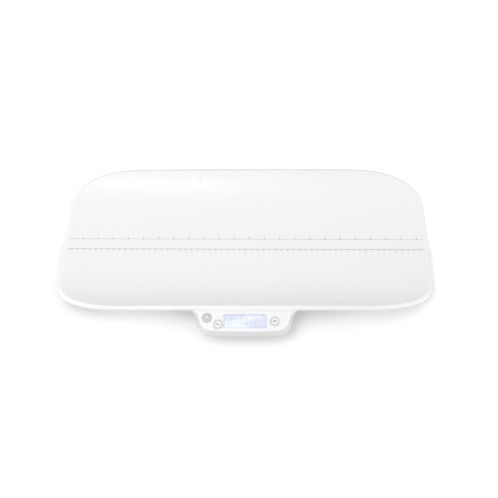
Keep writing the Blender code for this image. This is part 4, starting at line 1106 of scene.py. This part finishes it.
# (y, z) sections of the outside and of the hollow
COVER_OUTER = [(COVER_BACK_Y + 8, COVER_BACK_Z - 8 * COVER_RISE), (-166.5, 37.65),
               (-168.0, 38.15), (-170.5, 38.8), (-182.0, 41.0), (-182.0, 44.0), (-142.0, 44.0),
               (-142.0, 55.3), (-135.8, 55.3), (-135.4, 58.3)]
COVER_OUTER += [(y, min(under(0.0, y) - 0.5, 58.3))
                for y in (-132, -126, -120, -114, -108, -102, COVER_BACK_Y, -90)]
COVER_INNER = [(COVER_BACK_Y + 12, 14.6 - 12 * COVER_RISE), (-168.0, 40.8), (-185.0, 44.2),
               (-185.0, 66.0), (-80.0, 66.0)]


def cover_plan(extra):
    """Plan of the cover: inside the hood's wall at the front, straight sides behind."""
    side = 71.4 - extra
    back = COVER_BACK_Y + extra * 4
    front = []
    for (x, y), (nx, ny) in zip(edge[::3], edge_normal[::3]):
        if y > -152.0:
            continue
        wall_out = 0.55 + (face_z(y) - 44.0 - 2.0) * HOOD_DRAFT
        out = wall_out - SKIN * math.hypot(1, HOOD_DRAFT) - 0.4 - extra
        front.append((x + nx * out, y + ny * out))
    front = [p for p in front if abs(p[0]) < side - 0.2]
    return [(-side, back), (-side, -150.0)] + front + [(side, -150.0), (side, back)]


def shaped(plan, z0, z1, section, half):
    """What a plan and a (y, z) section of half width `half` have in common."""
    return carve(mesh_of(prisms([plan], z0, z1)),
                 ("INTERSECT", mesh_of(prisms([section], -half, half), YZ)))


def display_back_cover():
    solid = shaped(cover_plan(0.0), 2.0, 70.0, COVER_OUTER, 90.0)
    hollow = shaped(cover_plan(2.2), 0.0, 75.0, COVER_INNER, 95.0)
    posts, pockets, pins = (bmesh.new() for _ in range(3))
    for x, y in COVER_SCREWS:
        # the lower ends follow the sloping underside
        for v in add_rod(posts, x, y, 15.0, 30.7, SCREW_POST_R, 40):
            if v.co.z < 0.02:
                slope_z = COVER_BACK_Z + (COVER_BACK_Y - v.co.y / MM) * COVER_RISE
                v.co.z = (slope_z + 1.2) * MM
        add_rod(pockets, x, y, 5.0, 28.4, BOSS_R, 40)
        add_rod(pins, x, y, 26.0, 33.0, SCREW_HOLE_R, 24)
    mesh = carve(solid, ("DIFFERENCE", hollow), ("UNION", mesh_of(posts)),
                 ("DIFFERENCE", mesh_of(pockets)), ("DIFFERENCE", mesh_of(pins)))
    mesh.transform(SHIFT)
    return mesh


new_object("display_back_body", display_back_cover(), satin, angle=30,
           replaces="display_back_cover")

# ================================================================ feet
# profiles as (r, z, corner radius)
CUP = [(0.0, 13.4, 0), (3.2, 13.4, 0.3), (4.0, 12.8, 0.3), (4.0, 11.2, 0.25), (18.2, 11.2, 0.4),
       (18.2, 9.7, 0.4), (FOOT_R + 0.3, 9.7, 0.25), (FOOT_R + 0.3, 3.3, 0.7), (0.0, 3.3, 0)]
SOLE = [(0.0, 3.0, 0), (FOOT_R, 3.0, 0.3), (FOOT_R, 0.0, 0.8)]
for r in (13.0, 10.6, 8.2, 5.8):           # ring grooves
    SOLE += [(r, 0.0, 0.15), (r - 0.35, 0.55, 0.15), (r - 0.85, 0.55, 0.15), (r - 1.2, 0.0, 0.15)]
SOLE.append((0.0, 0.0, 0))

for end, sy in (("front", -1), ("back", 1)):
    for hand, sx in (("left", -1), ("right", 1)):
        key = end + "_" + hand
        place = SHIFT @ Matrix.Translation((sx * FOOT_X * MM, sy * FOOT_Y * MM, 0.0))
        new_object("foot_body_" + key, mesh_of(lathe(round_profile(CUP), 96), place),
                   foot_grey, "foot_" + key, angle=35, replaces="foot_cup_" + key)
        new_object("foot_sole_" + key, mesh_of(lathe(round_profile(SOLE, 3), 96), place),
                   foot_rubber, "foot_" + key, angle=35,
                   replaces="foot_pad_" + key)

# ================================================================ batteries and springs
CELL_R, CELL_LENGTH, CELL_PITCH, CELL_Z = 5.25, 43.5, 11.3, 15.5
CELL_END = CELL_LENGTH / 2
CELL = [(0.0, CELL_END, 0), (1.9, CELL_END, 0.25), (1.9, CELL_END - 1.2, 0.2),
        (CELL_R - 0.4, CELL_END - 1.2, 0.2), (CELL_R, CELL_END - 1.7, 0.35),
        (CELL_R, -CELL_END + 0.4, 0.35), (CELL_R - 0.4, -CELL_END, 0.2), (0.0, -CELL_END, 0)]
COIL_STEPS, COIL_TURNS = 96, 2


def coil(y, direction):
    """A tapering spring at the cell's flat end."""
    x0, x1 = BATTERY_X - direction * 24.7, BATTERY_X - direction * (CELL_END + 0.7)
    curve = bpy.data.curves.new("coil", "CURVE")
    curve.dimensions = "3D"
    curve.bevel_depth = 0.3 * MM
    curve.bevel_resolution = 4
    curve.use_fill_caps = True
    wire = curve.splines.new("POLY")
    wire.points.add(COIL_STEPS)
    for i, point in enumerate(wire.points):
        t = i / COIL_STEPS
        r, a = 3.6 - 1.6 * t, 2 * COIL_TURNS * math.pi * t
        point.co = ((x0 + (x1 - x0) * t) * MM, (y + r * math.cos(a)) * MM,
                    (CELL_Z + r * math.sin(a)) * MM, 1.0)
    mesh = curve_mesh(curve)
    mesh.transform(SHIFT)
    return mesh


for k in range(3):
    y = BATTERY_Y + (k - 1) * CELL_PITCH
    direction = 1 if k % 2 == 0 else -1
    place = (SHIFT @ Matrix.Translation((BATTERY_X * MM, y * MM, CELL_Z * MM))
             @ Matrix.Rotation(math.radians(90) * direction, 4, "Y"))
    new_object(f"battery_body_{k + 1}", mesh_of(lathe(round_profile(CELL)), place), sleeve,
               angle=35, replaces=f"battery_{k + 1}")
    new_object(f"battery_coil_{k + 1}", coil(y, direction), nickel, angle=60,
               replaces=f"battery_spring_{k + 1}")

# ================================================================ screws
THREAD_PITCH = 0.55


def screw_mesh(head_r, head_h, shaft_r, length):
    """A pan-head screw with a cross recess, its seat at z = 0 and its shaft running up."""
    profile = round_profile([(0.0, -head_h, 0), (head_r * 0.78, -head_h, 0.6),
                             (head_r, -head_h * 0.4, 0.3), (head_r, 0.0, 0.1),
                             (shaft_r, 0.0, 0.1)])
    for k in range(int((length - 1.6) / THREAD_PITCH)):
        z = 0.5 + THREAD_PITCH * k
        profile += [(shaft_r * 0.86, z), (shaft_r, z + 0.27)]
    profile += [(shaft_r * 0.86, length - 1.0), (shaft_r * 0.4, length), (0.0, length)]
    low, high = -head_h - 1.0, -head_h + 1.1
    slots = [mesh_of(box((-x, -y, low), (x, y, high)))
             for x, y in ((head_r * 0.6, 0.42), (0.42, head_r * 0.6))]
    return carve(mesh_of(lathe(profile, 36)), *[("DIFFERENCE", slot) for slot in slots])


# name, (head radius, head height, shaft radius, length), places, seat height, frame
for prefix, sizes, places, seat, space in (
        ("base_screw", (3.1, 2.0, 1.45, 9.2), BASE_SCREWS, 15.0, SHIFT),
        ("display_cover_screw", (3.1, 2.0, 1.45, 11.0), COVER_SCREWS, 28.4, SHIFT),
        ("board_screw", (2.6, 1.5, 1.1, 8.2), BOARD_SCREWS, -12.3, PANEL)):
    for k, (x, y) in enumerate(places):
        mesh = screw_mesh(*sizes)
        mesh.transform(space @ Matrix.Translation((x * MM, y * MM, (seat - CLEAR) * MM))
                       @ Matrix.Rotation(0.4 + 1.1 * k, 4, "Z"))
        new_object(f"{prefix}_body_{k + 1}", mesh, zinc, angle=32,
                   replaces=f"{prefix}_{k + 1}")


# ================================================================ floor
def pale_floor():
    """White to the camera, grey to other rays. It glows behind and beside the scale and keeps
    its shadows in front. Ranges are world places in metres."""
    mat = Shader("pale_floor")
    seen = mat.add("ShaderNodeLightPath").outputs["Is Camera Ray"]
    position = mat.add("ShaderNodeNewGeometry").outputs["Position"]
    place = mat.add("ShaderNodeSeparateXYZ", {"Vector": position})
    x, y = place.outputs["X"], place.outputs["Y"]
    behind = mat.plus(mat.span(y, to=(0.06, 0.0), over=(-0.085, -0.05)),
                      mat.span(y, to=(0.04, 0.34), over=(0.02, 0.12)))
    off_middle = mat.math("ABSOLUTE", mat.math("SUBTRACT", x, 0.02), 0.0)
    beside = mat.times(mat.span(off_middle, over=(0.11, 0.17)),
                       mat.span(y, to=(0.0, 0.13), over=(-0.125, -0.08)))
    left_end = mat.times(mat.span(y, over=(-0.08, -0.05)),
                         mat.span(x, to=(1.0, 0.0), over=(-0.32, -0.20)))
    glow = mat.plus(behind, mat.times(beside, mat.math("SUBTRACT", 1.0, left_end)))
    near_left = mat.times(mat.times(mat.span(y, over=(-0.14, -0.08)),
                                    mat.span(y, to=(1.0, 0.0), over=(0.02, 0.10))),
                          mat.span(x, to=(1.0, 0.0), over=(-0.28, -0.20)))
    near_left = mat.times(near_left, mat.span(x, over=(-0.42, -0.36)))
    glow = mat.times(glow, mat.math("SUBTRACT", 1.0, near_left))
    mat.set({"Base Color": mat.mix(seen, (0.50, 0.50, 0.505), (0.985, 0.985, 0.992)),
             "Roughness": mat.span(mat.noise(scale=3.0, detail=2.0), to=(0.86, 0.94),
                                   over=(0.0, 1.0)),
             "Specular IOR Level": 0.1, "Emission Color": (1.0, 1.0, 1.0),
             "Emission Strength": mat.times(glow, seen)})
    return mat.material


floor_shape = bmesh.new()
bmesh.ops.create_grid(floor_shape, x_segments=4, y_segments=4, size=5.0)
floor = link("floor", mesh_of(floor_shape))
floor.data.materials.append(pale_floor())

# ================================================================ world and lights
WORLD_STRENGTH = (0.475, 0.919)            # at the horizon and straight up
LIGHT_AIM = Vector((0.0, 0.0, 0.04))

world = bpy.data.worlds.new("studio")
bpy.context.scene.world = world
world.use_nodes = True
tree = world.node_tree
background = tree.nodes["Background"]
coord = tree.nodes.new("ShaderNodeTexCoord")
split = tree.nodes.new("ShaderNodeSeparateXYZ")
ramp = tree.nodes.new("ShaderNodeMapRange")
ramp.inputs["To Min"].default_value, ramp.inputs["To Max"].default_value = WORLD_STRENGTH
tree.links.new(coord.outputs["Generated"], split.inputs[0])
tree.links.new(split.outputs["Z"], ramp.inputs["Value"])
tree.links.new(ramp.outputs["Result"], background.inputs["Strength"])
background.inputs["Color"].default_value = (1.0, 1.0, 1.0, 1.0)


def area(name, azimuth, elevation, distance, size, power, height=None):
    """A soft lamp: azimuth 0 is in front (-Y), positive to the right. A height makes it a
    rectangle."""
    lamp = bpy.data.lights.new(name, "AREA")
    lamp.shape = "DISK" if height is None else "RECTANGLE"
    lamp.size = size
    if height is not None:
        lamp.size_y = height
    lamp.energy = power
    holder = link(name, lamp)
    turn, lift = math.radians(azimuth), math.radians(elevation)
    back = Vector((math.sin(turn) * math.cos(lift), -math.cos(turn) * math.cos(lift),
                   math.sin(lift)))
    holder.location = LIGHT_AIM + back * distance
    holder.rotation_mode = "QUATERNION"
    holder.rotation_quaternion = (-back).to_track_quat("-Z", "Y")


area("key", azimuth=-30, elevation=63, distance=2.0, size=1.0, power=11.3)
area("fill_front", azimuth=-8, elevation=24, distance=2.5, size=1.8, power=5.2)
area("side_right", azimuth=86, elevation=9, distance=3.0, size=1.5, power=27.0, height=0.55)
area("side_left", azimuth=-94, elevation=9, distance=3.0, size=1.5, power=26.0, height=0.55)

# ================================================================ camera
CAMERA_PLACE = Vector((27.3977, -823.3525 + TRAY_Y, 1287.0545)) * MM
CAMERA_RIGHT = Vector((0.99989717, 0.00713248, -0.01244088))
CAMERA_UP = Vector((0.000808308, 0.838128286, 0.545472568))
CAMERA_AHEAD = Vector((-0.01431763, 0.54542653, -0.83803634))

camera = link("camera", bpy.data.cameras.new("camera"))
rows = zip(CAMERA_RIGHT, CAMERA_UP, -CAMERA_AHEAD, CAMERA_PLACE)
camera.matrix_world = Matrix((*rows, (0, 0, 0, 1)))
camera.data.lens = 65.143
camera.data.sensor_width = 36.0
camera.data.clip_start = 0.05
camera.data.clip_end = 30.0
scene = bpy.context.scene
scene.camera = camera
scene.view_settings.view_transform = "Standard"
scene.view_settings.look = "None"
